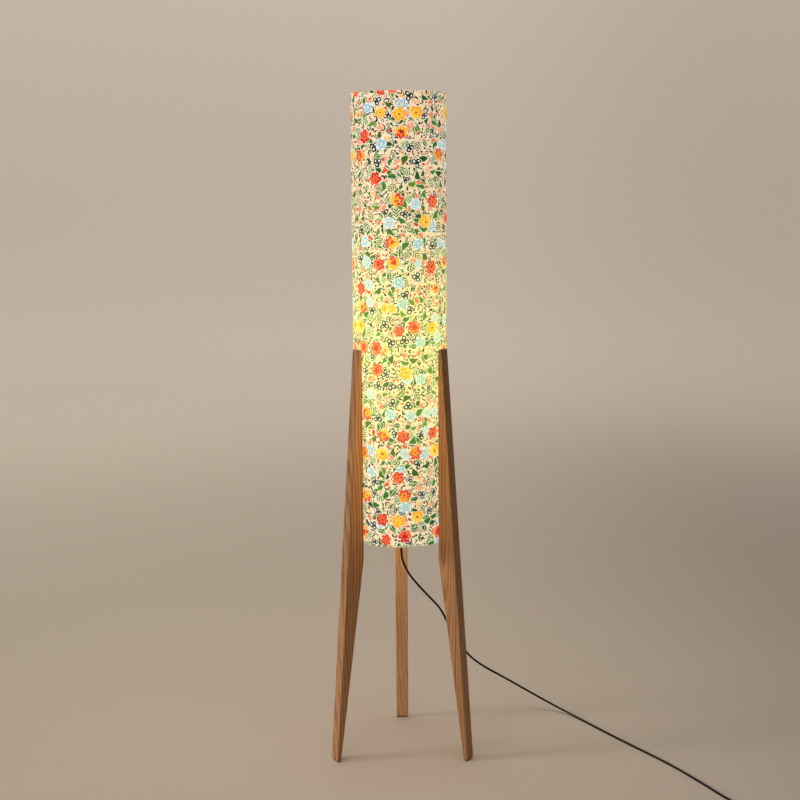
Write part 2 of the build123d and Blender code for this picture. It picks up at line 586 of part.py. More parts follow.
def make_bulb():
    glass_bottom = BULB_CAP_TOP + BULB_COLLAR_LENGTH / 2
    save("bulb_glass", bulb_outline(0) - bulb_outline(BULB_GLASS))
    collar = post(BULB_COLLAR_RADIUS, BULB_CAP_TOP, BULB_CAP_TOP + BULB_COLLAR_LENGTH)
    collar = fillet(collar.edges().sort_by(Axis.Z)[-1], BULB_COLLAR_ROUND)
    spigot = BULB_CAP_RADIUS - BULB_CAP_WALL - SEAT_GAP
    collar += post(spigot, BULB_CAP_TOP - BULB_COLLAR_SPIGOT, BULB_CAP_TOP)
    seat = BULB_NECK_RADIUS + SEAT_GAP
    collar -= post(seat, glass_bottom - SEAT_GAP, BULB_CAP_TOP + BULB_COLLAR_LENGTH)
    save("bulb_collar", collar)
    taper_top = BULB_CAP_BOTTOM + BULB_CAP_TAPER
    cap = cone(BULB_CAP_END_RADIUS, BULB_CAP_RADIUS, BULB_CAP_BOTTOM, taper_top)
    cap += post(BULB_CAP_RADIUS, taper_top, BULB_CAP_TOP)
    hollow = BULB_CAP_RADIUS - BULB_CAP_WALL
    cap -= cone(BULB_CAP_END_RADIUS - BULB_CAP_WALL, hollow, BULB_CAP_BOTTOM, taper_top)
    cap -= post(hollow, taper_top, BULB_CAP_TOP)
    save("bulb_cap", cap)
    insulator_bottom = BULB_BOTTOM + BULB_TIP_LENGTH
    save("bulb_insulator", cone(BULB_TIP_RADIUS, BULB_CAP_END_RADIUS, insulator_bottom, BULB_CAP_BOTTOM))
    tip = post(BULB_TIP_RADIUS, BULB_BOTTOM, insulator_bottom)
    save("bulb_tip", fillet(tip.edges().sort_by(Axis.Z)[0], BULB_TIP_ROUND))

    mount_top = BULB_CENTRE - FILAMENT_LENGTH / 2
    foot_top = glass_bottom + MOUNT_FOOT_HEIGHT
    mount = cone(MOUNT_FOOT_RADIUS, MOUNT_RADIUS, glass_bottom - SEAT_GAP, foot_top)
    mount += post(MOUNT_RADIUS, foot_top, mount_top)
    mount += post(FILAMENT_SPREAD + FILAMENT_RADIUS, mount_top - MOUNT_DISC_THICKNESS, mount_top)
    save("bulb_mount", mount)
    filaments = []
    for index in range(FILAMENT_COUNT):
        angle = radians(45 + 360 / FILAMENT_COUNT * index)
        spot = (FILAMENT_SPREAD * cos(angle), FILAMENT_SPREAD * sin(angle))
        filaments.append(post(FILAMENT_RADIUS, mount_top, mount_top + FILAMENT_LENGTH, spot))
    save("bulb_filaments", *filaments)


# ---------------------------------------------------------------- foot switch
def on_switch_axis(shape):
    """Move a piece made along +X at the origin to the switch's place on the floor."""
    return Pos(*SWITCH_CENTRE, 0) * Rot(0, 0, SWITCH_HEADING) * shape


def capsule(inset, bottom, top):
    """The switch's rounded outline, drawn in by an inset, between two heights."""
    outline = RectangleRounded(SWITCH_LENGTH - 2 * inset, SWITCH_WIDTH - 2 * inset, SWITCH_CORNER - inset)
    return Pos(0, 0, bottom) * extrude(outline, top - bottom)


def lying_post(radius, start, end, height):
    """A cylinder along +X between two distances."""
    return Pos(start, 0, height) * Rot(0, 90, 0) * Cylinder(radius, end - start, align=UP)


def lying_cone(start_radius, end_radius, start, end, height):
    """A truncated cone along +X between two distances."""
    return Pos(start, 0, height) * Rot(0, 90, 0) * Cone(start_radius, end_radius, end - start, align=UP)


def make_switch():
    base_z = SWITCH_FOOT_HEIGHT
    floor_z = base_z + SWITCH_WALL
    roof_z = SWITCH_TOP_Z - SWITCH_ROOF
    head_top = base_z + SWITCH_SCREW_HEAD_SINK + SWITCH_SCREW_HEAD_HEIGHT
    half, half_width = SWITCH_LENGTH / 2, SWITCH_WIDTH / 2
    screw_x, screw_y = half - SWITCH_SCREW_INSET[0], half_width - SWITCH_SCREW_INSET[1]
    screw_spots = [(screw_x, -screw_y), (-screw_x, screw_y)]
    passage = lying_post(CORD_RADIUS + SEAT_GAP, -half - 1, half + 1, SWITCH_SPLIT_Z)

    base = capsule(0, base_z, SWITCH_SPLIT_Z) - capsule(SWITCH_WALL, floor_z, SWITCH_SPLIT_Z)
    base += post(POST_RADIUS, floor_z, floor_z + POST_HEIGHT)
    cover = fillet(capsule(0, SWITCH_SPLIT_Z, SWITCH_TOP_Z).edges().group_by(Axis.Z)[-1], SWITCH_TOP_ROUND)
    cover -= capsule(SWITCH_WALL, SWITCH_SPLIT_Z, roof_z)
    screws = []
    for spot in screw_spots:
        base += post(BOSS_RADIUS, floor_z, SWITCH_SPLIT_Z, spot)
        base -= post(SWITCH_SCREW_RADIUS + HOLE_GAP, base_z, SWITCH_SPLIT_Z, spot)
        base -= post(SWITCH_SCREW_HEAD_RADIUS + HOLE_GAP, base_z, head_top, spot)
        cover += post(BOSS_RADIUS, SWITCH_SPLIT_Z, roof_z, spot)
        cover -= post(SWITCH_SCREW_RADIUS + THREAD_GAP, SWITCH_SPLIT_Z, roof_z - PILOT_SHORT, spot)
        head = post(SWITCH_SCREW_HEAD_RADIUS, base_z + SWITCH_SCREW_HEAD_SINK, head_top, spot)
        screws.append(head + post(SWITCH_SCREW_RADIUS, head_top, roof_z - SWITCH_SCREW_SHORT, spot))
    base -= passage
    cover -= passage
    cover -= post(BUTTON_RADIUS + BUTTON_CLEARANCE, SWITCH_SPLIT_Z, SWITCH_TOP_Z)

    flange_top = roof_z - BUTTON_CLEARANCE
    skirt_z = flange_top - BUTTON_SKIRT
    top_z = SWITCH_TOP_Z + BUTTON_PROUD
    button = fillet(post(BUTTON_RADIUS, skirt_z, top_z).edges().sort_by(Axis.Z)[-1], BUTTON_EDGE_ROUND)
    button += post(BUTTON_RADIUS + BUTTON_FLANGE, flange_top - BUTTON_FLANGE_THICKNESS, flange_top)
    hollow = BUTTON_RADIUS - BUTTON_WALL
    button -= post(hollow, skirt_z, top_z - BUTTON_WALL)
    bridge = ring(hollow + BRIDGE_OVERLAP, hollow, skirt_z - BRIDGE_THICKNESS, skirt_z)

    # Wire centre line from the case floor to the underside of the button's crown.
    end_room = SPRING_WIRE + SPRING_END_GAP
    rise = top_z - BUTTON_WALL - floor_z - 2 * end_room
    helix = Pos(0, 0, floor_z + end_room) * Helix(rise / SPRING_TURNS, rise, SPRING_RADIUS)
    spring = sweep(Plane(origin=helix @ 0, z_dir=helix % 0) * Circle(SPRING_WIRE), path=helix)

    bar_height = skirt_z - BRIDGE_THICKNESS - BUTTON_TRAVEL - CONTACT_GAP - floor_z
    bar = Box(BAR_LENGTH, BAR_THICKNESS, bar_height, align=UP)
    bar_y = BUTTON_RADIUS - BAR_INSET
    bars = [Pos(side * BAR_SHIFT, bar_y, floor_z) * bar for side in (-1, 1)]
    block = Box(*SWITCH_TERMINAL, align=UP)
    terminal_start = BAR_SHIFT + BAR_LENGTH / 2 + SWITCH_TERMINAL_GAP
    terminal_x = terminal_start + SWITCH_TERMINAL[0] / 2
    terminals = [Pos(side * terminal_x, bar_y, floor_z) * block for side in (-1, 1)]
    foot_x, foot_y = half - SWITCH_FOOT_INSET[0], half_width - SWITCH_FOOT_INSET[1]
    feet = [post(SWITCH_FOOT_RADIUS, 0, base_z, (i * foot_x, j * foot_y)) for i in (-1, 1) for j in (-1, 1)]
    sleeve_bore = lying_post(CORD_RADIUS + SEAT_GAP, 0, SWITCH_SLEEVE_LENGTH, SWITCH_SPLIT_Z)
    big_radius = CORD_RADIUS + SWITCH_SLEEVE_WALL
    sleeve = lying_cone(big_radius, SLEEVE_END_RADIUS, 0, SWITCH_SLEEVE_LENGTH, SWITCH_SPLIT_Z)
    sleeve = Pos(half, 0, 0) * (sleeve - sleeve_bore)
    outer_end = half + SWITCH_SLEEVE_LENGTH
    inner_end = terminal_start + SWITCH_TERMINAL[0] + SWITCH_CORD_GAP
    cord_end = lying_post(CORD_RADIUS, inner_end, outer_end, SWITCH_SPLIT_Z)

    save("switch_base", on_switch_axis(base))
    save("switch_cover", on_switch_axis(cover))
    save("switch_button", on_switch_axis(button))
    save("switch_contact_ring", on_switch_axis(bridge))
    save("switch_spring", on_switch_axis(spring))
    save("switch_contact_bars", *[on_switch_axis(strip) for strip in bars])
    save("switch_terminals", *[on_switch_axis(terminal) for terminal in terminals])
    save("switch_screws", *[on_switch_axis(screw) for screw in screws])
    save("switch_feet", *[on_switch_axis(foot) for foot in feet])
    save("switch_sleeves", *[on_switch_axis(Rot(0, 0, turn) * sleeve) for turn in (0, 180)])
    save("switch_cord_ends", *[on_switch_axis(Rot(0, 0, turn) * cord_end) for turn in (0, 180)])


# ---------------------------------------------------------------- free cord, coil and plug
def make_cord():
    save("cord_to_switch", cord_tube("cord_to_switch", CORD_TO_SWITCH))
    save("cord_to_coil", cord_tube("cord_to_coil", CORD_TO_COIL))
    save("cord_to_plug", cord_tube("cord_to_plug", CORD_TO_PLUG))

    middle = Pos(COIL_RADIUS, COIL_MIDDLE_Z)
    place = Pos(*COIL_CENTRE, 0)
    turns = Plane.XZ * middle * RectangleRounded(COIL_SECTION, COIL_SECTION, CORD_RADIUS * 0.95)
    save("cord_coil", place * revolve(turns, Axis.Z))
    inside = COIL_SECTION + 2 * TIE_GAP
    outside = inside + 2 * TIE_THICKNESS
    loop = RectangleRounded(outside, outside, TIE_INNER_ROUND + TIE_THICKNESS)
    loop -= RectangleRounded(inside, inside, TIE_INNER_ROUND)
    tie = revolve(Plane.XZ * middle * loop, Axis.Z, revolution_arc=TIE_ANGLE)
    save("cord_tie", place * Rot(0, 0, TIE_AZIMUTH) * tie)


def make_plug():
    axis_z = PLUG_HEIGHT / 2
    body_start = PLUG_SLEEVE_LENGTH
    body_end = body_start + PLUG_LENGTH
    body = Pos(body_start + PLUG_LENGTH / 2, 0, axis_z) * Box(PLUG_LENGTH, PLUG_WIDTH, PLUG_HEIGHT)
    body = fillet(body.edges(), PLUG_ROUND)
    blades = []
    for side in (-1, 1):
        length = BLADE_ROOT + BLADE_LENGTH
        blade = Box(length, BLADE_THICKNESS, BLADE_WIDTH)
        blade = chamfer(blade.faces().sort_by(Axis.X)[-1].edges(), BLADE_CHAMFER)
        blade = Pos(body_end - BLADE_ROOT + length / 2, side * BLADE_SPACING / 2, axis_z) * blade
        body -= blade
        hole_at = Pos(body_end + BLADE_LENGTH - BLADE_HOLE_INSET, side * BLADE_SPACING / 2, axis_z)
        blades.append(blade - hole_at * Rot(90, 0, 0) * Cylinder(BLADE_HOLE_RADIUS, 2 * BLADE_THICKNESS))
    sleeve = lying_cone(SLEEVE_END_RADIUS, CORD_RADIUS + PLUG_SLEEVE_WALL, 0, body_start, axis_z)
    place = Pos(*PLUG_AT, 0) * Rot(0, 0, PLUG_HEADING)
    save("plug_body", place * body)
    save("plug_sleeve", place * sleeve)
    save("plug_blades", *[place * blade for blade in blades])


if __name__ == "__main__":
    os.makedirs("parts", exist_ok=True)
    make_legs()
    make_shade()
    make_frame()
    make_lead()
    make_holder()
    make_bulb()
    make_switch()
    make_cord()
    make_plug()
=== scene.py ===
"""Finishes, cloth, lead and studio for a tripod floor lamp with a tall printed drum shade.

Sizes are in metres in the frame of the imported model: the shade's axis stands on the origin,
+Z is up and the lone rear leg is on +Y. Colours are written as 0 to 255 and turned linear.
"""

import logging
import math
from dataclasses import dataclass, field
from enum import Enum
from typing import Iterable, Sequence, Union

import bpy
from mathutils import Matrix, Vector


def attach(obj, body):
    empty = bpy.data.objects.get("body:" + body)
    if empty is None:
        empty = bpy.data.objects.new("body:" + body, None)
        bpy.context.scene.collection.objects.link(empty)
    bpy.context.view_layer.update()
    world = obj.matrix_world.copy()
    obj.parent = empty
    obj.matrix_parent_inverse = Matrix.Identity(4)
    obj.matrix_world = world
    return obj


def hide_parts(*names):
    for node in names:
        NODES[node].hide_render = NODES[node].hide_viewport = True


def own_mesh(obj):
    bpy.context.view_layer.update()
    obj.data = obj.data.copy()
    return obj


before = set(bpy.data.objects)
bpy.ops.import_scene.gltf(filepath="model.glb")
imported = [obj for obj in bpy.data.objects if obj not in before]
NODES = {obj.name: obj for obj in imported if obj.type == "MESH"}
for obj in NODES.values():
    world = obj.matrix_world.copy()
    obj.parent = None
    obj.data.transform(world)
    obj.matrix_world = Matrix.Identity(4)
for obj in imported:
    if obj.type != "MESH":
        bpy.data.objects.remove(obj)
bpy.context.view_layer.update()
LOG = logging.getLogger("lamp")
TURN = 2 * math.pi

Point = tuple[float, float, float]
Colour = tuple[float, float, float, float]

WHITE: Colour = (1.0, 1.0, 1.0, 1.0)
BLACK: Colour = (0.0, 0.0, 0.0, 1.0)


def ink(red: int, green: int, blue: int) -> Colour:
    """Turn a colour as it is seen on a screen into linear light.

    Args:
        red: Red, 0 to 255.
        green: Green, 0 to 255.
        blue: Blue, 0 to 255.

    Returns:
        Linear red, green, blue and an alpha of 1.
    """
    def linear(part: int) -> float:
        """Undo the screen's curve for one part."""
        share = part / 255
        return share / 12.92 if share <= 0.04045 else ((share + 0.055) / 1.055) ** 2.4

    return (linear(red), linear(green), linear(blue), 1.0)


def toned(colour: Colour, factor: float, plus: float = 0.0) -> Colour:
    """Multiply each part of a colour and add to it, with an alpha of 1."""
    return (*(min(1.0, part * factor + plus) for part in colour[:3]), 1.0)


def eased(share: float) -> float:
    """Hold a share between 0 and 1, with a soft start and end."""
    share = min(1.0, max(0.0, share))
    return share * share * (3 - 2 * share)


# ---------------------------------------------------------------- node graphs
class Signal:
    """An output socket of a material. Arithmetic on it adds the nodes that work it out."""

    def __init__(self, graph: "Graph", socket: bpy.types.NodeSocket) -> None:
        """Wrap one socket of a graph."""
        self.graph = graph
        self.socket = socket

    def __add__(self, other: "Amount") -> "Signal":
        """Sum."""
        return self.graph.math("ADD", self, other)

    def __sub__(self, other: "Amount") -> "Signal":
        """Difference."""
        return self.graph.math("SUBTRACT", self, other)

    def __rsub__(self, other: float) -> "Signal":
        """Difference from a plain number."""
        return self.graph.math("SUBTRACT", other, self)

    def __mul__(self, other: "Amount") -> "Signal":
        """Product."""
        return self.graph.math("MULTIPLY", self, other)

    def __truediv__(self, other: "Amount") -> "Signal":
        """Quotient."""
        return self.graph.math("DIVIDE", self, other)

    def __rtruediv__(self, other: float) -> "Signal":
        """A plain number over this."""
        return self.graph.math("DIVIDE", other, self)

    def __abs__(self) -> "Signal":
        """Size without sign."""
        return self.graph.math("ABSOLUTE", self)

    def above(self, limit: float) -> "Signal":
        """One where this is greater than a limit, else nought."""
        return self.graph.math("GREATER_THAN", self, limit)

    def below(self, limit: float) -> "Signal":
        """One where this is less than a limit, else nought."""
        return self.graph.math("LESS_THAN", self, limit)

    __radd__ = __add__
    __rmul__ = __mul__


Amount = Union[Signal, float, tuple]


class Graph:
    """The node tree of one material, with a short call for each kind of node in use."""

    def __init__(self, name: str) -> None:
        """Start a material with one Principled shader.

        Args:
            name: The material's name.
        """
        self.material = bpy.data.materials.new(name)
        self.material.use_nodes = True
        self.tree = self.material.node_tree
        self.shader = self.tree.nodes["Principled BSDF"]

    def put(self, socket: bpy.types.NodeSocket, value: Amount) -> None:
        """Link a signal into a socket, or set a constant on it.

        Args:
            socket: The input socket.
            value: A signal to link, or a constant to set.
        """
        if isinstance(value, Signal):
            self.tree.links.new(value.socket, socket)
        else:
            socket.default_value = value

    def node(self, kind: str, settings: dict, inputs: dict) -> bpy.types.Node:
        """Add a node.

        Args:
            kind: The node's type name.
            settings: Its properties.
            inputs: Its sockets by name or number, with a signal or a constant for each.

        Returns:
            The new node.
        """
        made = self.tree.nodes.new(kind)
        for key, value in settings.items():
            setattr(made, key, value)
        for key, value in inputs.items():
            self.put(made.inputs[key], value)
        return made

    def signal(self, kind: str, settings: dict, inputs: dict, output: Union[int, str] = 0) -> Signal:
        """Add a node, as node does, and take one of its outputs by number or name."""
        return Signal(self, self.node(kind, settings, inputs).outputs[output])

    def math(self, operation: str, *values: Amount) -> Signal:
        """Work out a number from one to three others."""
        return self.signal("ShaderNodeMath", {"operation": operation}, dict(enumerate(values)))

    def vector(self, operation: str, *values: Amount) -> Signal:
        """Work out a vector from others."""
        return self.signal("ShaderNodeVectorMath", {"operation": operation}, dict(enumerate(values)))

    def scaled(self, vector: Signal, factor: Amount) -> Signal:
        """A vector times a number."""
        inputs = {"Vector": vector, "Scale": factor}
        return self.signal("ShaderNodeVectorMath", {"operation": "SCALE"}, inputs)

    def turned(self, vector: Signal, angle: Amount) -> Signal:
        """A vector turned about Z by an angle in radians."""
        inputs = {"Vector": vector, "Angle": angle}
        return self.signal("ShaderNodeVectorRotate", {"rotation_type": "Z_AXIS"}, inputs)

    def join(self, x: Amount, y: Amount, z: Amount) -> Signal:
        """A vector from its three parts."""
        return self.signal("ShaderNodeCombineXYZ", {}, {0: x, 1: y, 2: z})

    def even(self, part: Amount) -> Signal:
        """A vector or colour whose three parts are the same."""
        return self.join(part, part, part)

    def split(self, vector: Signal) -> list[Signal]:
        """The three parts of a vector or colour."""
        made = self.node("ShaderNodeSeparateXYZ", {}, {0: vector})
        return [Signal(self, part) for part in made.outputs]

    def distance(self, x: Signal, y: Signal) -> Signal:
        """How far a point of a plane lies from the plane's origin."""
        return self.math("SQRT", x * x + y * y)

    def hill(self, value: Signal, middle: float, spread: float) -> Signal:
        """A bell that is 1 at a middle value and 1/e one spread away from it."""
        away = (value - middle) / spread
        return self.math("POWER", math.e, 0.0 - away * away)

    def place(self) -> Signal:
        """The point of the surface in the lamp's own frame, in metres."""
        return self.signal("ShaderNodeTexCoord", {}, {}, "Object")

    def map(self, name: str) -> Signal:
        """A named surface map of the mesh."""
        return self.signal("ShaderNodeUVMap", {"uv_map": name}, {})

    def noise(self, vector: Signal, scale: float, detail: float = 2.0, rough: float = 0.5) -> Signal:
        """Smooth noise, about 0.5 in the mean."""
        inputs = {"Vector": vector, "Scale": scale, "Detail": detail, "Roughness": rough}
        return self.signal("ShaderNodeTexNoise", {}, inputs)

    def cells(self, vector: Signal, pitch: float, uneven: float, feature: str) -> bpy.types.Node:
        """Make an uneven grid of points on a plane.

        Args:
            vector: The plane's coordinates.
            pitch: The grid's pitch.
            uneven: How far a point strays in its cell, 0 to 1.
            feature: What the Voronoi texture works out.

        Returns:
            The texture's node.
        """
        settings = {"voronoi_dimensions": "2D", "feature": feature}
        inputs = {"Vector": vector, "Scale": 1 / pitch, "Randomness": uneven}
        return self.node("ShaderNodeTexVoronoi", settings, inputs)

    def smooth(self, low: float, high: float, value: Signal) -> Signal:
        """Rise from 0 to 1 with soft ends while the value goes from low to high."""
        inputs = {"Value": value, "From Min": low, "From Max": high}
        return self.signal("ShaderNodeMapRange", {"interpolation_type": "SMOOTHSTEP"}, inputs)

    def mix(self, share: Amount, first: Amount, second: Amount) -> Signal:
        """A colour between two others."""
        inputs = {0: share, 6: first, 7: second}
        return self.signal("ShaderNodeMix", {"data_type": "RGBA"}, inputs, 2)

    def blend(self, how: str, first: Amount, second: Amount) -> Signal:
        """A colour multiplied by another or added to it."""
        settings = {"data_type": "RGBA", "blend_type": how, "clamp_result": False}
        return self.signal("ShaderNodeMix", settings, {0: 1.0, 6: first, 7: second}, 2)

    def palette(self, value: Signal, colours: Sequence[Colour]) -> Signal:
        """Pick a colour from a row of them.

        Args:
            value: A number from 0 to 1, shared out evenly among the colours.
            colours: The colours.

        Returns:
            The colour that the value falls on.
        """
        made = self.node("ShaderNodeValToRGB", {}, {0: value})
        ramp = made.color_ramp
        ramp.interpolation = "CONSTANT"
        while len(ramp.elements) < len(colours):
            ramp.elements.new(0.5)
        for index, colour in enumerate(colours):
            ramp.elements[index].position = index / len(colours)
            ramp.elements[index].color = colour
        return Signal(self, made.outputs[0])

    def bump(self, height: Signal, depth: float, strength: float = 1.0) -> None:
        """Give the surface a fine relief of a depth in metres."""
        inputs = {"Height": height, "Distance": depth, "Strength": strength}
        self.put(self.shader.inputs["Normal"], self.signal("ShaderNodeBump", {}, inputs))

    def finish(self, **sockets: Amount) -> bpy.types.Material:
        """Set the shader's sockets, written with _ for each space, and give the material back.

        Args:
            **sockets: A signal or a constant for each socket.

        Returns:
            The finished material.
        """
        for name, value in sockets.items():
            self.put(self.shader.inputs[name.replace("_", " ")], value)
        return self.material


# ---------------------------------------------------------------- plain finishes
@dataclass(frozen=True)
class Moulded:
    """Moulded resin, rubber or sheath: a fine grain in its colour, gloss and relief."""

    name: str
    colour: Colour
    roughness: float
    grain: float = 0.0009
    relief: float = 0.00002
    specular: float = 0.5

    def material(self) -> bpy.types.Material:
        """Build the material.

        Returns:
            The finished material.
        """
        graph = Graph(self.name)
        place = graph.place()
        fine = graph.noise(place, 1 / self.grain, 3.0, 0.6)
        broad = graph.noise(place, 0.07 / self.grain, 2.0)
        lighter = toned(self.colour, 1.7, 0.006)
        graph.bump(fine, self.relief)
        return graph.finish(
            Base_Color=graph.mix(broad * 0.35 + fine * 0.25, self.colour, lighter),
            Roughness=fine * 0.14 + broad * 0.1 + (self.roughness - 0.12),
            Specular_IOR_Level=self.specular,
        )


class Drawn(Enum):
    """How the surface of a metal piece was left."""

    TURNED = (60.0, 60.0, 3.0)
    BRUSHED = (40.0, 1.0, 40.0)
    PRESSED = (3.0, 3.0, 3.0)


@dataclass(frozen=True)
class Metal:
    """Bare or plated metal, with the fine marks of its making and a slight tarnish."""

    name: str
    colour: Colour
    roughness: float
    marks: Drawn = Drawn.PRESSED

    def material(self) -> bpy.types.Material:
        """Build the material.

        Returns:
            The finished material.
        """
        graph = Graph(self.name)
        place = graph.place()
        streaks = graph.noise(graph.vector("MULTIPLY", place, self.marks.value), 60.0, 3.0, 0.6)
        cloud = graph.noise(place, 90.0, 2.0)
        tarnished = toned(self.colour, 0.72)
        graph.bump(streaks, 0.00001)
        return graph.finish(
            Base_Color=graph.mix(graph.smooth(0.42, 0.72, cloud), self.colour, tarnished),
            Roughness=streaks * 0.2 + cloud * 0.12 + (self.roughness - 0.14),
            Metallic=1.0,
        )


@dataclass(frozen=True)
class PowderCoat:
    """White powder coat with its orange-peel skin."""

    name: str = "white_powder_coat"
    colour: Colour = ink(240, 237, 230)
    dusty: Colour = ink(222, 217, 205)

    def material(self) -> bpy.types.Material:
        """Build the material.

        Returns:
            The finished material.
        """
        graph = Graph(self.name)
        place = graph.place()
        peel = graph.noise(place, 900.0, 2.0, 0.4)
        dust = graph.noise(place, 45.0, 3.0)
        graph.bump(peel, 0.00005)
        return graph.finish(
            Base_Color=graph.mix(dust * 0.5, self.colour, self.dusty),
            Roughness=peel * 0.12 + 0.34,
        )


@dataclass(frozen=True)
class Felt:
    """Dense pressed felt under the feet, darker where its nap's relief is low: painted shade in the
    hollows.
    """

    name: str = "brown_felt"
    colour: Colour = ink(104, 84, 68)
    # The felt's colour in the nap's hollows, a painted shade.
    nap_shade: Colour = ink(72, 57, 46)

    def material(self) -> bpy.types.Material:
        """Build the material.

        Returns:
            The finished material.
        """
        graph = Graph(self.name)
        place = graph.place()
        hairs = graph.noise(place, 2600.0, 4.0, 0.75)
        tufts = graph.noise(place, 420.0, 3.0)
        # Where the hairs' relief is low the felt takes the darker colour: painted shade in the nap's
        # hollows, mixed with the tufts' random tone.
        nap = graph.smooth(0.3, 0.7, hairs * 0.6 + tufts * 0.4)
        graph.bump(hairs, 0.0002)
        return graph.finish(
            Base_Color=graph.mix(nap, self.nap_shade, self.colour),
            Roughness=hairs * 0.1 + 0.88,
            Sheen_Weight=0.35,
        )


@dataclass(frozen=True)
class Board:
    """One board of timber.

    The azimuth is the way that its leg points, in degrees. The pith is where the middle of the
    tree lay, outward and sideways from the shade's axis, and ring is the width of a year's growth.
    """

    azimuth: float
    seed: float
    pith: tuple[float, float]
    light: Colour = ink(183, 137, 91)
    dark: Colour = ink(127, 83, 48)
    ring: float = 0.0072


@dataclass(frozen=True)
class OiledAsh:
    """Oiled timber of one leg. Growth rings run round a pith that wanders along the leg."""

    name: str
    board: Board
    pore: Colour = ink(92, 56, 32)
    open_pores: tuple[float, float] = (0.6, 0.72)

    def material(self) -> bpy.types.Material:
        """Build the material.

        Returns:
            The finished material.
        """
        graph = Graph(self.name)
        board = self.board
        x, y, z = graph.split(graph.turned(graph.place(), -math.radians(board.azimuth)))
        along = graph.join(board.seed, board.seed * 0.7, z)
        sway = graph.noise(along, 2.4, 1.0)
        lean = graph.noise(graph.vector("ADD", along, (7.3, 1.9, 4.1)), 1.6, 1.0)
        across = x - board.pith[0] + (sway - 0.5) * 0.04
        behind = y - board.pith[1] + (lean - 0.5) * 0.05
        reach = graph.distance(across, behind)
        ripple = graph.noise(graph.join(x * 9.0, y * 9.0, z * 1.4 + board.seed), 6.0, 2.0)
        phase = graph.math("FRACT", reach / board.ring + ripple * 1.2)
        late = graph.smooth(0.1, 0.78, phase) * (1.0 - graph.smooth(0.8, 1.0, phase))
        fibres = graph.noise(graph.join(x, y, z * 0.016 + board.seed), 1500.0, 3.0, 0.65)
        streaks = graph.noise(graph.join(x, y, z * 0.012 + board.seed), 210.0, 2.0)
        pores = graph.noise(graph.join(x, y, z * 0.03), 2900.0, 1.0)
        patch = graph.noise(graph.join(x * 4.0, y * 4.0, z * 0.7 + board.seed * 3.0), 3.0, 1.0)
        tone = late * 0.42 + (fibres - 0.5) * 0.45 + (streaks - 0.5) * 1.0 + (patch - 0.5) * 0.5 + 0.22
        wood = graph.mix(graph.smooth(0.0, 1.0, tone), board.light, board.dark)
        pitted = graph.smooth(*self.open_pores, pores)
        wood = graph.mix(pitted * (late * 0.25 + 0.2), wood, self.pore)
        graph.bump(fibres * 0.6 - pitted * 0.5, 0.00012, 0.5)
        return graph.finish(
            Base_Color=wood,
            Roughness=fibres * 0.16 + late * 0.08 + 0.42,
            Specular_IOR_Level=0.4,
        )


@dataclass(frozen=True)
class Lit:
    """A pale part that glows: strongest where the drum is brightest, weaker above and below."""

    name: str
    colour: Colour
    glow: Colour
    brightness: float
    spread: float
    roughness: float = 0.5
    least: float = 0.18

    def material(self) -> bpy.types.Material:
        """Build the material.

        Returns:
            The finished material.
        """
        graph = Graph(self.name)
        place = graph.place()
        _, _, height = graph.split(place)
        level = self.least + (1 - self.least) * graph.hill(height, Shade.glow_height, self.spread)
        cloud = graph.noise(place, 35.0, 3.0)
        graph.bump(graph.noise(place, 1400.0, 2.0), 0.00003)
        self_lit = graph.blend("MULTIPLY", self.glow, graph.even(level))
        made = graph.finish(
            Base_Color=graph.mix(cloud * 0.4, self.colour, toned(self.colour, 0.9)),
            Roughness=cloud * 0.15 + self.roughness,
            Emission_Color=self_lit,
            Emission_Strength=self.brightness,
        )
        made.cycles.emission_sampling = "NONE"
        return made


# ---------------------------------------------------------------- printed cotton
@dataclass(frozen=True)
class Scatter:
    """Motifs strewn over the cloth, one in each cell of an uneven grid.

    The pitch is the grid's and the reach a motif's largest radius, both in metres. The crowd says
    how far a motif may spread into the room round it, and uneven how far it strays, 0 to 1.
    """

    pitch: float
    shift: tuple[float, float]
    reach: float
    crowd: float
    uneven: float = 0.72


@dataclass(frozen=True)
class Motif:
    """A point of the cloth as its motif sees it: turned, and scaled so that the motif ends at 1."""

    x: Signal
    y: Signal
    radius: Signal
    angle: Signal
    reach: Signal
    kind: Signal
    tint: Signal

    def disc(self, size: Amount) -> Signal:
        """Depth inside a disc about the motif's centre, in metres."""
        return (size - self.radius) * self.reach

    def oval(self, x: Signal, y: Signal, long: float, wide: float) -> Signal:
        """Depth inside an oval, in metres."""
        far = x.graph.distance(x / long, y / wide)
        return (1.0 - far) * self.reach * min(long, wide)

    def fold(self, count: int, out: float) -> tuple[Signal, Signal]:
        """Find the nearest of a ring of petals.

        Args:
            count: How many petals make the ring.
            out: How far the middle of a petal lies from the motif's centre.

        Returns:
            How far the point lies from that middle, outward and sideways.
        """
        graph = self.x.graph
        near = graph.math("PINGPONG", self.angle + TURN, TURN / count / 2)
        along = self.radius * graph.math("COSINE", near) - out
        return along, self.radius * graph.math("SINE", near)

    def blade(self, width: float, bend: float, foot: float = -1.0) -> tuple[Signal, Signal]:
        """Draw a pointed, bent leaf that runs along x.

        Args:
            width: Half the leaf's width at its middle.
            bend: How far its ends bend aside.
            foot: Where it starts. Its tip is at 1.

        Returns:
            The depth inside the leaf in metres, and how far the point lies across its midline.
        """
        middle, half = (1 + foot) / 2, (1 - foot) / 2
        along = (self.x - middle) / half
        square = along * along
        across = self.y + (square - 0.5) * bend
        return ((1.0 - square) * width - abs(across)) * self.reach, across


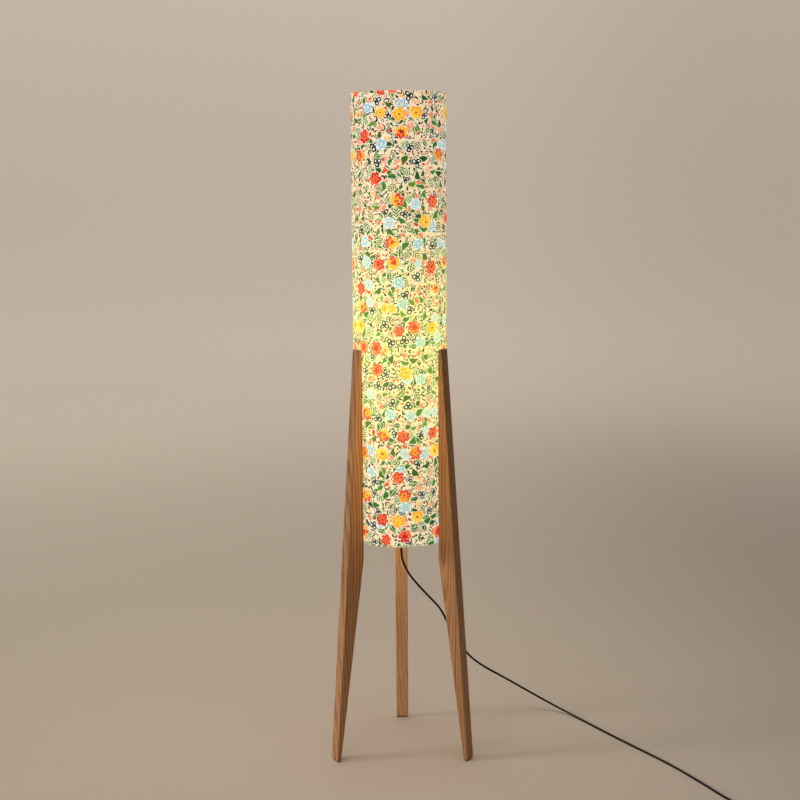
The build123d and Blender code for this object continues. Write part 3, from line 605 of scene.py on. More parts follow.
GROUND = ink(255, 229, 186)
HALO = ink(255, 245, 218)
PALE_GROUND = ink(255, 240, 208)
GREENS = (ink(42, 110, 44), ink(60, 130, 44), ink(34, 84, 40), ink(102, 142, 40),
          ink(48, 118, 46), ink(74, 104, 30))
OLIVES = (ink(106, 132, 24), ink(138, 124, 26), ink(76, 112, 32), ink(100, 84, 18))
NAVY = (ink(16, 28, 40), ink(22, 38, 52), ink(14, 18, 22))
EARTHS = (ink(60, 34, 14), ink(110, 84, 16), ink(22, 20, 18), ink(196, 66, 30), ink(212, 138, 44),
          ink(40, 26, 14), ink(140, 70, 20), ink(64, 66, 18))
SPECKS = (ink(232, 162, 108), ink(240, 168, 128), ink(214, 168, 92), ink(242, 186, 142))
REDS = (ink(226, 36, 28), ink(240, 84, 46), ink(206, 30, 30), ink(246, 132, 96))
PEACHES = (ink(252, 186, 142), ink(250, 168, 128), ink(252, 196, 120), ink(248, 172, 150))
BLUES = (ink(120, 184, 220), ink(150, 202, 226), ink(132, 190, 206), ink(168, 206, 222))
BLUE_BACK = ink(250, 248, 238)
BLUE_LIGHT = ink(226, 240, 244)
BLUE_EYES = (ink(250, 190, 60), ink(120, 130, 130))
BERRY_EYE = ink(238, 240, 230)
BLOOM_OUTER = (ink(226, 38, 28), ink(255, 176, 28), ink(232, 56, 36), ink(214, 30, 30),
               ink(250, 158, 36))
BLOOM_INNER = (ink(250, 120, 70), ink(255, 208, 80), ink(255, 190, 50), ink(246, 100, 60),
               ink(232, 58, 36))
BLOOM_EYES = (ink(150, 28, 22), ink(70, 44, 26))


@dataclass
class Pattern:
    """The flower print as it grows on the cloth, layer by layer.

    The cloth is its own coordinates in metres, soft is how far an edge of ink bleeds, and under
    is what is printed so far.
    """

    graph: Graph
    cloth: Signal
    soft: float
    under: Amount = GROUND

    def motif(self, scatter: Scatter) -> Motif:
        """Find the motif nearest to each point of the cloth.

        Args:
            scatter: How the motifs are strewn.

        Returns:
            The point in the nearest motif's own coordinates, with two random numbers for it.
        """
        graph = self.graph
        place = graph.vector("ADD", self.cloth, (*scatter.shift, 0.0))
        nearest = graph.cells(place, scatter.pitch, scatter.uneven, "F1")
        room = graph.cells(place, scatter.pitch, scatter.uneven, "N_SPHERE_RADIUS")
        clear = Signal(graph, room.outputs["Radius"]) * (scatter.crowd * scatter.pitch)
        reach = graph.math("MINIMUM", clear, scatter.reach)
        turn, kind, tint = graph.split(Signal(graph, nearest.outputs["Color"]))
        local = graph.vector("SUBTRACT", place, Signal(graph, nearest.outputs["Position"]))
        x, y, _ = graph.split(graph.scaled(graph.turned(local, turn * TURN), 1.0 / reach))
        angle = graph.math("ARCTAN2", y, x)
        return Motif(x, y, graph.distance(x, y), angle, reach, kind, tint)

    def lay(self, depth: Signal, colour: Amount, halo: float = 0.0) -> None:
        """Print a shape.

        Args:
            depth: How far inside the shape a point is, in metres, negative outside.
            colour: The shape's ink.
            halo: How far the bare pale cloth shows round the shape, in metres.
        """
        graph, soft = self.graph, self.soft
        if halo:
            edge = graph.smooth(-halo - soft, -halo + soft, depth)
            self.under = graph.mix(edge, self.under, HALO)
        self.under = graph.mix(graph.smooth(-soft, soft, depth), self.under, colour)

    def specks(self) -> None:
        """Print the mottled ground with its strewn specks."""
        graph = self.graph
        cloud = graph.noise(self.cloth, 150.0, 2.0)
        self.under = graph.mix(graph.smooth(0.4, 0.68, cloud), GROUND, PALE_GROUND)
        for pitch, shift in ((0.0034, (0.41, 0.17)), (0.0047, (0.93, 0.58))):
            motif = self.motif(Scatter(pitch, shift, reach=0.0013, crowd=1.0, uneven=0.9))
            depth = ((1.0 - motif.x * motif.x) * 0.6 - abs(motif.y)) * motif.reach
            self.lay(depth - motif.kind.above(0.8), graph.palette(motif.tint, SPECKS))

    def dashes(self) -> None:
        """Print short bent strokes in earth colours."""
        for pitch, shift, reach in ((0.0096, (0.31, 0.77), 0.0041), (0.0118, (1.13, 0.37), 0.0052)):
            motif = self.motif(Scatter(pitch, shift, reach, crowd=1.25))
            depth, _ = motif.blade(0.46, 0.3)
            inks = self.graph.palette(motif.tint, EARTHS)
            self.lay(depth - motif.kind.above(0.9), inks, 0.0009)

    def peaches(self) -> None:
        """Print soft pale peach flowers that lie back in the ground."""
        motif = self.motif(Scatter(pitch=0.034, shift=(0.53, 1.07), reach=0.0125, crowd=1.0))
        none = motif.kind.above(0.6)
        along, across = motif.fold(5, 0.56)
        depth = motif.oval(along, across, 0.42, 0.34) - none
        self.lay(depth, self.graph.palette(motif.tint, PEACHES), 0.001)
        inks = self.graph.palette(motif.tint, (HALO, REDS[3], OLIVES[1]))
        self.lay(motif.disc(0.26) - none, inks)

    def hooks(self) -> None:
        """Print tendrils that curl over most of a circle, and fat commas."""
        graph = self.graph
        motif = self.motif(Scatter(pitch=0.0182, shift=(0.67, 1.31), reach=0.0076, crowd=1.15))
        curl = (0.22 - abs(motif.radius - 0.74)) * motif.reach
        curl = graph.math("MINIMUM", curl, (2.0 - abs(motif.angle)) * motif.reach * 0.6)
        comma, _ = motif.blade(0.36, 0.8)
        pick = motif.kind.above(0.45)
        depth = curl + (comma - curl) * pick - motif.kind.above(0.82)
        curl_inks = graph.palette(motif.tint, (OLIVES[3], EARTHS[0], GREENS[5], EARTHS[2]))
        comma_inks = graph.palette(motif.tint, (GREENS[4], REDS[0], NAVY[0], EARTHS[3], GREENS[2]))
        self.lay(depth, graph.mix(pick, curl_inks, comma_inks), 0.001)

    def leaves(self) -> None:
        """Print broad green leaves on short stalks, split by a pale vein."""
        graph = self.graph
        for pitch, shift, bend, drop in ((0.0255, (1.57, 0.23), 0.3, 0.78),
                                         (0.0305, (0.37, 0.91), -0.36, 0.7)):
            motif = self.motif(Scatter(pitch, shift, reach=0.0138, crowd=1.25))
            none = motif.kind.above(drop)
            leaf, across = motif.blade(0.46, bend, -0.6)
            nick = abs(graph.math("SINE", motif.x * 5.2 + motif.tint * 9.0)) * 0.14
            leaf = leaf - nick * motif.reach * motif.kind.below(0.3)
            _, stalk_line = motif.blade(0.4, bend)
            stalk = graph.math("MINIMUM", (0.07 - abs(stalk_line)) * motif.reach,
                               (0.86 - abs(motif.x + 0.1)) * motif.reach)
            inks = graph.palette(motif.tint, GREENS)
            self.lay(graph.math("MAXIMUM", leaf, stalk) - none, inks, 0.0012)
            vein = graph.math("MINIMUM", leaf - 0.0008, (0.045 - abs(across)) * motif.reach)
            self.lay(vein - none - motif.kind.below(0.62), HALO)

    def sprigs(self) -> None:
        """Print ferns of slanted strokes, and plump buds on a green cup."""
        graph = self.graph
        motif = self.motif(Scatter(pitch=0.0285, shift=(1.21, 1.47), reach=0.0125, crowd=1.15))
        edge = ((1.0 - motif.x * motif.x) * 0.66 - abs(motif.y)) * motif.reach
        wave = graph.math("FRACT", (motif.x - abs(motif.y) * 0.9) * 2.1 + 10.0)
        fern = graph.math("MINIMUM", edge, (0.31 - abs(wave - 0.5)) * motif.reach * 0.46)
        bud = motif.oval(motif.x - 0.12, motif.y, 0.5, 0.36)
        cup = motif.oval(motif.x + 0.34, motif.y, 0.3, 0.26)
        pick, none = motif.kind.above(0.36), motif.kind.above(0.8)
        depth = fern + (graph.math("MAXIMUM", bud, cup) - fern) * pick - none
        self.lay(depth, graph.palette(motif.tint, (*OLIVES, GREENS[3], GREENS[1])), 0.0011)
        self.lay(bud - (1.0 - pick) - none, graph.palette(motif.kind * 9.0 - 3.2, REDS))

    def berries(self) -> None:
        """Print clusters of three dark rings, each with a pale middle."""
        motif = self.motif(Scatter(pitch=0.0345, shift=(0.19, 1.73), reach=0.0112, crowd=1.0))
        radius = self.graph.distance(*motif.fold(3, 0.5))
        none = motif.kind.above(0.42)
        navy = self.graph.palette(motif.tint, NAVY)
        self.lay((0.47 - radius) * motif.reach - none, navy, 0.0012)
        self.lay((0.2 - radius) * motif.reach - none, BERRY_EYE)

    def blues(self) -> None:
        """Print pale blue flowers whose petals stand apart, each with a paler middle."""
        graph = self.graph
        motif = self.motif(Scatter(pitch=0.0415, shift=(1.33, 0.49), reach=0.0128, crowd=1.0))
        none = motif.kind.above(0.37)
        self.lay(motif.disc(0.98) - none, BLUE_BACK)
        along, across = motif.fold(5, 0.6)
        petal = motif.oval(along, across, 0.36, 0.31) - none
        self.lay(petal, graph.palette(motif.tint, BLUES))
        self.lay(motif.oval(along - 0.04, across, 0.17, 0.13) - none, BLUE_LIGHT)
        self.lay(motif.disc(0.15) - none, graph.palette(motif.tint, BLUE_EYES))

    def blooms(self) -> None:
        """Print large flowers in two inks with a ruffled heart."""
        graph = self.graph
        strewn = Scatter(pitch=0.0465, shift=(1.91, 0.83), reach=0.0152, crowd=1.1, uneven=0.7)
        motif = self.motif(strewn)
        none = motif.kind.above(0.44)
        along, across = motif.fold(6, 0.6)
        ruffle = graph.noise(graph.join(motif.x, motif.y, motif.tint * 9.0), 2.6, 1.0) - 0.5
        half = graph.smooth(-0.12, 0.12, motif.x + (motif.kind - 0.26) * 3.2 + ruffle * 0.9)
        petal = motif.oval(along, across + ruffle * 0.3, 0.42, 0.36)
        outer_ink = graph.palette(motif.tint, BLOOM_OUTER)
        inner_ink = graph.palette(motif.tint, BLOOM_INNER)
        sides = graph.mix(half, outer_ink, inner_ink)
        self.lay(graph.math("MAXIMUM", petal, motif.disc(0.5)) - none, sides, 0.0008)
        crease = motif.oval(along + 0.06, across, 0.2, 0.07) - none
        self.lay(crease, graph.mix(0.3, sides, HALO))
        heart = motif.disc(0.42 + ruffle * 0.9) - none
        self.lay(heart, graph.mix(half, inner_ink, outer_ink))
        self.lay(motif.disc(0.13) - none, graph.palette(motif.tint, BLOOM_EYES))

    def flowers(self) -> None:
        """Print every layer above the ground, the large flowers last."""
        for layer in (self.dashes, self.peaches, self.hooks, self.leaves, self.sprigs,
                      self.berries, self.blues, self.blooms):
            layer()


@dataclass(frozen=True)
class PrintedCotton:
    """Fine cotton with a small allover flower print, laminated to the liner and lit from behind."""

    name: str = "printed_cotton"
    soft: float = 0.00016
    waver: float = 0.0034
    waver_scale: float = 95.0
    thread: float = 0.00034
    glow_spread: float = 0.25
    end_glow: float = 0.78
    peak_glow: float = 0.95
    reflects: float = 0.36
    rim_fade: tuple[float, float] = (-0.001, 0.005)
    rim_dims: float = 0.16
    warmth: Colour = (1.02, 1.08, 0.6, 1.0)
    veil: Colour = (0.135, 0.13, 0.035, 1.0)

    def material(self) -> bpy.types.Material:
        """Build the material.

        Returns:
            The finished material.
        """
        graph = Graph(self.name)
        cloth = graph.map(Shade.cloth_map)
        ground = Pattern(graph, cloth, self.soft)
        ground.specks()
        drawn = graph.vector("ADD", cloth, self.wobble(graph, cloth))
        pattern = Pattern(graph, drawn, self.soft, ground.under)
        pattern.flowers()
        printed = pattern.under
        _, height, _ = graph.split(cloth)
        lamp = graph.hill(height, Shade.glow_height, self.glow_spread)
        bright = lamp * (self.peak_glow - self.end_glow) + self.end_glow
        rim = graph.math("MINIMUM", height - Shade.low_rim, Shade.high_rim - height)
        bright = bright * (graph.smooth(*self.rim_fade, rim) * self.rim_dims + (1 - self.rim_dims))
        warm = graph.blend("MULTIPLY", graph.mix(lamp, WHITE, self.warmth), graph.even(bright))
        shone = graph.blend("MULTIPLY", printed, warm)
        veil = graph.mix(lamp, BLACK, self.veil)
        u, v, _ = graph.split(graph.scaled(cloth, TURN / self.thread))
        weave = graph.math("SINE", u) * graph.math("SINE", v)
        slub = graph.noise(graph.vector("MULTIPLY", cloth, (1.0, 0.05, 1.0)), 900.0, 2.0)
        graph.bump(weave * 0.5 + slub, 0.00006, 0.4)
        held = (self.reflects, self.reflects, self.reflects, 1.0)
        made = graph.finish(
            Base_Color=graph.blend("MULTIPLY", printed, held),
            Roughness=slub * 0.1 + 0.82,
            Specular_IOR_Level=0.15,
            Emission_Color=graph.blend("ADD", shone, veil),
            Emission_Strength=1.0,
        )
        made.cycles.emission_sampling = "NONE"
        return made

    def wobble(self, graph: Graph, cloth: Signal) -> Signal:
        """The small waver that makes the drawing look like hand work.

        Args:
            graph: The material's graph.
            cloth: The cloth's own coordinates in metres.

        Returns:
            How far the print is shifted at each point, in metres.
        """
        inputs = {"Vector": cloth, "Scale": self.waver_scale, "Detail": 1.0}
        cloud = graph.signal("ShaderNodeTexNoise", {}, inputs, "Color")
        return graph.scaled(graph.vector("SUBTRACT", cloud, (0.5, 0.5, 0.5)), self.waver * 2)


# ---------------------------------------------------------------- mesh making
SLEEVE_BORE = 0.00252      # hole of a rubber sleeve, just over the lead's radius
SLEEVE_LAND = 0.002        # plain stretch at each end of a sleeve
SLEEVE_BREAK = 0.0003      # bevel at its thick end
SLEEVE_TIP = 0.0004        # bevel at its thin end
SLEEVE_WALL = 0.0002       # the least rubber left under a groove
RING_PITCH = 0.0026
# One ring and its groove: how far along it, from 0 to 1, and how deep.
RING = ((0.0, 0.0), (0.42, 0.0), (0.5, 0.00025), (0.56, 0.0009), (0.88, 0.0009), (0.95, 0.00025))
SLEEVE_STEPS = 40


def add_object(name: str, data: bpy.types.ID) -> bpy.types.Object:
    """Make an object and link it into the scene.

    Args:
        name: The object's name.
        data: Its mesh, curve, light or camera.

    Returns:
        The new object.
    """
    made = bpy.data.objects.new(name, data)
    bpy.context.scene.collection.objects.link(made)
    return made


def add_mesh(name: str, points: Sequence[Sequence[float]], faces: Sequence[Sequence[int]],
             sharp: float = 40.0) -> bpy.types.Object:
    """Make a smooth-shaded mesh object with sharp edges past an angle.

    Args:
        name: The piece's name.
        points: Its corners, in metres.
        faces: Its faces as corner numbers.
        sharp: The angle in degrees past which an edge is sharp.

    Returns:
        The new object, linked into the scene.
    """
    mesh = bpy.data.meshes.new(name)
    mesh.from_pydata([tuple(point) for point in points], [], [tuple(face) for face in faces])
    mesh.validate()
    mesh.shade_smooth()
    mesh.set_sharp_from_angle(angle=math.radians(sharp))
    return add_object(name, mesh)


def tube_faces(rings: int, around: int, closed_ends: bool) -> list[tuple[int, ...]]:
    """Faces of a skin through equal closed rings of corners.

    Args:
        rings: How many rings there are.
        around: How many corners each ring has.
        closed_ends: Whether the first and last ring are capped; if not, they are joined.

    Returns:
        The faces, outward where the rings turn anticlockwise about the way they advance.
    """
    faces = []
    for ring in range(rings - 1 if closed_ends else rings):
        here, there = ring * around, (ring + 1) % rings * around
        for step in range(around):
            after = (step + 1) % around
            faces.append((here + step, here + after, there + after, there + step))
    if closed_ends:
        faces.append(tuple(reversed(range(around))))
        faces.append(tuple(range((rings - 1) * around, rings * around)))
    return faces


def turned_piece(name: str, outline: Sequence[tuple[float, float]], place: Matrix,
                 around: int) -> bpy.types.Object:
    """Turn a closed outline of (distance along the axis, radius) points about an axis.

    Args:
        name: The piece's name.
        outline: The outline's points. It runs round material, not through the axis.
        place: Where the axis starts and points, as the matrix of its own +X.
        around: How many steps make the turn.

    Returns:
        The new object.
    """
    points = []
    for step in range(around):
        angle = TURN * step / around
        for along, radius in outline:
            aside, up = radius * math.cos(angle), radius * math.sin(angle)
            points.append(place @ Vector((along, aside, up)))
    return add_mesh(name, points, tube_faces(around, len(outline), False))


def lofted_piece(name: str, sections: Iterable[tuple[float, float, float, float]], place: Matrix,
                 around: int) -> bpy.types.Object:
    """Skin rounded oblong sections along an axis.

    Args:
        name: The piece's name.
        sections: For each, its distance along, half width, half height and squareness.
        place: Where the axis starts and points, as the matrix of its own +X.
        around: How many corners each section has.

    Returns:
        The new object.
    """
    points, rings = [], 0
    for along, half_width, half_height, square in sections:
        rings += 1
        for step in range(around):
            angle = TURN * step / around
            c, s = math.cos(angle), math.sin(angle)
            across = math.copysign(abs(c) ** (2 / square), c) * half_width
            up = math.copysign(abs(s) ** (2 / square), s) * half_height
            points.append(place @ Vector((along, across, up)))
    return add_mesh(name, points, tube_faces(rings, around, True), sharp=35.0)


def ribbed_sleeve(name: str, place: Matrix, length: float, ends: tuple[float, float],
                  lip: float = 0.0) -> bpy.types.Object:
    """Build a tapered rubber sleeve cut into soft rings so that it bends.

    Args:
        name: The piece's name.
        place: The sleeve's thick end and direction, as the matrix of its own +X.
        length: Its length.
        ends: Its radius at the thick and at the thin end.
        lip: How far a flange stands out at the thick end.

    Returns:
        The new object.
    """
    thick, thin = ends
    flange, ringed = thick + lip, length - 2 * SLEEVE_LAND
    rings = round(ringed / RING_PITCH)
    outline = [
        (0.0, SLEEVE_BORE), (0.0, flange - SLEEVE_BREAK), (SLEEVE_BREAK, flange),
        (SLEEVE_LAND - SLEEVE_BREAK, flange), (SLEEVE_LAND, flange - SLEEVE_BREAK), (SLEEVE_LAND, thick),
    ]
    for ring in range(rings):
        for part, drop in RING:
            along = SLEEVE_LAND + ringed * (ring + part) / rings
            radius = thick + (thin - thick) * along / length
            outline.append((along, max(SLEEVE_BORE + SLEEVE_WALL, radius - drop)))
    outline += [
        (length - SLEEVE_LAND, thin), (length - SLEEVE_TIP, thin), (length, thin - SLEEVE_TIP),
        (length, SLEEVE_BORE),
    ]
    return turned_piece(name, outline[::-1], place, SLEEVE_STEPS)


def merged(name: str, pieces: Sequence[bpy.types.Object], sharp: float = 40.0) -> bpy.types.Object:
    """Make one object of several new meshes and drop the originals.

    Args:
        name: The new piece's name.
        pieces: The meshes, which are removed.
        sharp: The angle in degrees past which an edge is sharp.

    Returns:
        The new object.
    """
    points, faces = [], []
    for piece in pieces:
        start = len(points)
        points += [tuple(corner.co) for corner in piece.data.vertices]
        faces += [tuple(start + corner for corner in face.vertices) for face in piece.data.polygons]
    for piece in pieces:
        mesh = piece.data
        bpy.data.objects.remove(piece)
        bpy.data.meshes.remove(mesh)
    return add_mesh(name, points, faces, sharp)


def lying(centre: Point, heading: float) -> Matrix:
    """The place of a piece made along +X that lies level, facing a heading in degrees."""
    return Matrix.Translation(centre) @ Matrix.Rotation(math.radians(heading), 4, "Z")


def dress(material: bpy.types.Material, *nodes: str) -> None:
    """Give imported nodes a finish.

    Args:
        material: The finish.
        *nodes: The nodes' names.
    """
    for name in nodes:
        for place in NODES[name].material_slots:
            place.material = material
        LOG.info("dressed %s with %s", name, material.name)


def seat(piece: bpy.types.Object, body: str, material: bpy.types.Material,
         replaces: Sequence[str] = ()) -> bpy.types.Object:
    """Finish a new piece and tie it to the frame.

    Args:
        piece: The piece.
        body: The body that it moves with.
        material: Its finish.
        replaces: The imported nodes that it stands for.

    Returns:
        The piece.
    """
    piece.data.materials.append(material)
    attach(piece, body)
    if replaces:
        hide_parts(*replaces)
    LOG.info("piece %s on %s", piece.name, body)
    return piece


# ---------------------------------------------------------------- studio
def add_light(name: str, kind: str, power: float,
              colour: tuple[float, float, float]) -> bpy.types.Object:
    """Add a light.

    Args:
        name: The light's name.
        kind: Its type.
        power: Its watts, or its strength for a distant light.
        colour: Its linear colour.

    Returns:
        The light's object. Its size is set on the object's data.
    """
    data = bpy.data.lights.new(name, kind)
    data.energy, data.color = power, colour
    return add_object(name, data)


@dataclass(frozen=True)
class Camera:
    """The camera. It looks along +Y, tipped down and rolled by angles in degrees."""

    place: Point = (-0.00059, -3.1141, 1.310)
    pitch: float = 8.93
    roll: float = -0.36
    lens: float = 62.7
    sensor: float = 36.0
    sees: float = 60.0

    def build(self) -> None:
        """Make the camera and use it."""
        data = bpy.data.cameras.new("camera")
        data.sensor_width = self.sensor
        data.lens = self.lens
        data.clip_end = self.sees
        made = add_object("camera", data)
        tip = Matrix.Rotation(math.radians(90 - self.pitch), 4, "X")
        roll = Matrix.Rotation(math.radians(self.roll), 4, "Z")
        made.matrix_world = Matrix.Translation(self.place) @ tip @ roll
        bpy.context.scene.camera = made


@dataclass(frozen=True)
class Panel:
    """A soft square light."""

    name: str
    place: Point
    aim: Point
    size: float
    watts: float
    colour: tuple[float, float, float]

    def build(self) -> None:
        """Hang the light and turn it to its aim."""
        made = add_light(self.name, "AREA", self.watts, self.colour)
        made.data.shape = "SQUARE"
        made.data.size = self.size
        made.location = self.place
        way = Vector(self.aim) - Vector(self.place)
        made.rotation_euler = way.to_track_quat("-Z", "Y").to_euler()
        made.visible_camera = False


@dataclass(frozen=True)
class Studio:
    """A plain floor that sweeps up into a plain wall all round, with soft lights inside it.

    Each pair of distances says where a change across the plaster starts and ends.
    """

    floor_rings: tuple[float, ...] = (0.35, 0.8, 1.4, 2.2)
    floor_edge: float = 3.4
    flat: float = 4.5
    bend: float = 6.0
    bend_steps: int = 20
    height: float = 11.0
    steps: int = 96
    wall_paint: tuple[float, float] = (1.6, 9.5)
    own_light: tuple[float, float] = (1.2, 6.6)
    high_light: tuple[float, float] = (0.4, 4.5)
    # Spans of the painted shade towards +X: first on the floor's colour, then on the wall's own light.
    painted_shade_span: tuple[float, float] = (0.0, 1.7)
    dim_side: tuple[float, float] = (0.0, 3.0)
    brightest: float = 1.04
    floor: Colour = ink(177, 165, 152)
    # The floor's colour where its painted shade is fullest, towards +X.
    painted_shade_floor: Colour = ink(150, 139, 128)
    wall: Colour = ink(84, 76, 68)
    key: float = 1.6
    key_runs: Point = (0.94, 0.16, -0.3)
    key_width: float = 16.0
    key_colour: tuple[float, float, float] = (1.0, 0.93, 0.85)
    wall_light: Colour = ink(197, 184, 168)
    air: Colour = ink(214, 196, 178)
    air_strength: float = 0.15
    far_glow: float = 0.78
    high_glow: float = 0.2
    dimming: float = 0.2
    shine_colour: tuple[float, float, float] = (1.0, 0.6, 0.22)
    mouth: float = 1.1
    mouth_height: float = 0.5
    mouth_size: float = 0.08
    # Heights and watts of the lights between the legs, where they stand and how large they are.
    beside: tuple[tuple[float, float], ...] = ((0.6, 0.25), (0.75, 0.7), (0.9, 1.2))
    beside_azimuths: tuple[float, ...] = (30.0, 150.0, 270.0)
    beside_radius: float = 0.1
    beside_size: float = 0.03
    panels: tuple[Panel, ...] = (
        Panel("front", (-1.8, -4.2, 2.6), (0.0, 0.0, 0.6), 2.0, 26.0, (1.0, 0.95, 0.9)),
        Panel("top", (-0.3, 0.0, 4.8), (0.0, 0.0, 0.0), 4.0, 168.0, (1.0, 0.95, 0.89)),
        Panel("back", (-1.8, 4.2, 2.6), (0.0, 0.0, 0.8), 2.0, 26.0, (1.0, 0.94, 0.88)),
    )

    def bowl(self, name: str, profile: Sequence[tuple[float, float]],
             closed: bool) -> bpy.types.Object:
        """Build a round surface through rings of a profile.

        Args:
            name: The surface's name.
            profile: The radius and height of each ring.
            closed: Whether the surface is closed at its middle.

        Returns:
            The new object.
        """
        start = int(closed)
        points = [Vector((0.0, 0.0, 0.0))] * start
        for radius, height in profile:
            for step in range(self.steps):
                angle = TURN * step / self.steps
                points.append(Vector((radius * math.cos(angle), radius * math.sin(angle), height)))
        faces = []
        if closed:
            faces = [(0, 1 + step, 1 + (step + 1) % self.steps) for step in range(self.steps)]
        for ring in range(len(profile) - 1):
            here, there = start + ring * self.steps, start + (ring + 1) * self.steps
            for step in range(self.steps):
                after = (step + 1) % self.steps
                faces.append((here + step, there + step, there + after, here + after))
        return add_mesh(name, points, faces, sharp=80.0)

    def plaster(self) -> bpy.types.Material:
        """Matt paint that gives way, far from the lamp, to its own even light, with painted shade
        towards +X.

        Returns:
            The finished material.
        """
        graph = Graph("plaster")
        place = graph.place()
        x, y, z = graph.split(place)
        out = graph.distance(x, y)
        cloud = graph.noise(place, 1.3, 3.0)
        far = graph.smooth(*self.wall_paint, out)
        glow = graph.smooth(*self.own_light, out)
        high = graph.smooth(*self.high_light, z)
        # Painted shade: the floor's colour turns darker towards +X, as though the key's light fell off
        # there.
        shady = graph.smooth(*self.painted_shade_span, x)
        floor = graph.mix(shady, self.floor, self.painted_shade_floor)
        # Painted shade: the wall's own light dims towards +X.
        dimmed = self.brightest - graph.smooth(*self.dim_side, x) * self.dimming
        graph.bump(graph.noise(place, 160.0, 3.0), 0.0002, 0.3)
        return graph.finish(
            Base_Color=graph.mix(far, floor, self.wall),
            Roughness=cloud * 0.1 + 0.8,
            Specular_IOR_Level=0.2,
            Emission_Color=self.wall_light,
            Emission_Strength=(glow * self.far_glow + high * self.high_glow) * dimmed,
        )

    def sun(self) -> None:
        """Add one broad, low, distant light from the left, a little in front."""
        made = add_light("key", "SUN", self.key, self.key_colour)
        made.data.angle = math.radians(self.key_width)
        made.rotation_euler = Vector(self.key_runs).to_track_quat("-Z", "Y").to_euler()

    def ball(self, place: Point, watts: float, size: float, reached: bpy.types.Collection) -> None:
        """Add one warm soft ball of light.

        Args:
            place: Its middle.
            watts: Its power.
            size: Its radius.
            reached: The collection that it lights and that shades it, alone.
        """
        made = add_light("shine", "POINT", watts, self.shine_colour)
        made.data.shadow_soft_size = size
        made.location = place
        made.visible_camera = False
        made.light_linking.receiver_collection = reached
        made.light_linking.blocker_collection = reached

    def shine(self, floor: bpy.types.Object) -> None:
        """Add what the lit drum throws on the legs beside it and down on the floor.

        Args:
            floor: The floor.
        """
        legs = bpy.data.collections.new("lit_by_the_drum")
        for name in NODES:
            if name.startswith("leg_") and NODES[name].type == "MESH":
                legs.objects.link(NODES[name])
        for azimuth in self.beside_azimuths:
            angle = math.radians(azimuth)
            x, y = self.beside_radius * math.cos(angle), self.beside_radius * math.sin(angle)
            for height, watts in self.beside:
                self.ball((x, y, height), watts, self.beside_size, legs)
        below = bpy.data.collections.new("lit_from_the_drum_mouth")
        below.objects.link(floor)
        self.ball((0.0, 0.0, self.mouth_height), self.mouth, self.mouth_size, below)

    def build(self) -> None:
        """Build the floor, the wall, the air's own light and the lamps."""
        paint = self.plaster()
        rings = [(radius, 0.0) for radius in (*self.floor_rings, self.floor_edge)]
        floor = self.bowl("floor", rings, True)
        angles = [math.pi / (2 * self.bend_steps) * (step + 1) for step in range(self.bend_steps)]
        curve = [(self.flat + self.bend * math.sin(angle), self.bend * (1 - math.cos(angle)))
                 for angle in angles]
        rise = [(self.floor_edge, 0.0), (self.flat, 0.0), *curve, (self.flat + self.bend, self.height)]
        wall = self.bowl("wall", rise, False)
        for piece in (floor, wall):
            piece.data.materials.append(paint)
        wall.visible_diffuse = wall.visible_glossy = wall.visible_transmission = False
        wall.visible_shadow = False
        world = bpy.data.worlds.new("air")
        world.use_nodes = True
        background = world.node_tree.nodes["Background"]
        background.inputs[0].default_value = self.air
        background.inputs[1].default_value = self.air_strength
        bpy.context.scene.world = world
        self.sun()
        self.shine(floor)
        for panel in self.panels:
            panel.build()
        scene = bpy.context.scene
        scene.view_settings.view_transform = "Standard"
        scene.view_settings.look = "None"


# ---------------------------------------------------------------- lead
# The lead's route from the strain relief to the foot switch, millimetres.
LEAD_TO_SWITCH = (
    (0.0, 0.0, 479.5),
    (0.0, 0.0, 456.0),
    (9.0, 5.0, 430.0),
    (20.5, 14.0, 406.0),
    (40.0, 29.0, 378.0),
    (66.0, 50.5, 343.0),
    (93.0, 75.0, 308.0),
    (110.5, 94.0, 264.0),
    (135.0, 117.0, 212.0),
    (167.0, 138.5, 164.0),
    (207.0, 157.0, 130.0),
    (248.0, 178.0, 100.5),
    (290.0, 201.0, 68.0),
    (332.0, 213.5, 39.0),
    (373.0, 207.5, 17.0),
    (411.0, 180.0, 5.0),
    (443.0, 132.9, 2.6),
    (473.1, 82.2, 2.6),
    (502.8, 33.5, 2.6),
    (531.4, -12.3, 2.6),
    (560.0, -57.0, 2.6),
    (588.2, -101.9, 2.6),
    (614.6, -146.7, 2.6),
    (640.2, -196.5, 2.6),
    (664.6, -246.9, 2.6),
    (688.3, -297.7, 2.6),
    (699.5, -321.2, 3.6),
    (710.292, -342.598, 8.0),
    (719.936, -362.371, 8.0),
)
# From the switch's far sleeve towards the coil, and from the coil into the plug's sleeve.
LEAD_TO_COIL = (
    (771.664, -468.429, 8.0),
    (778.678, -482.81, 8.0),
    (786.2, -498.1, 4.6),
)
LEAD_TO_PLUG = (
    (744.0, -560.1, 7.0),
    (722.0, -558.0, 3.4),
    (700.0, -551.5, 3.6),
    (681.854, -544.498, 7.5),
    (664.0, -538.0, 7.5),
)


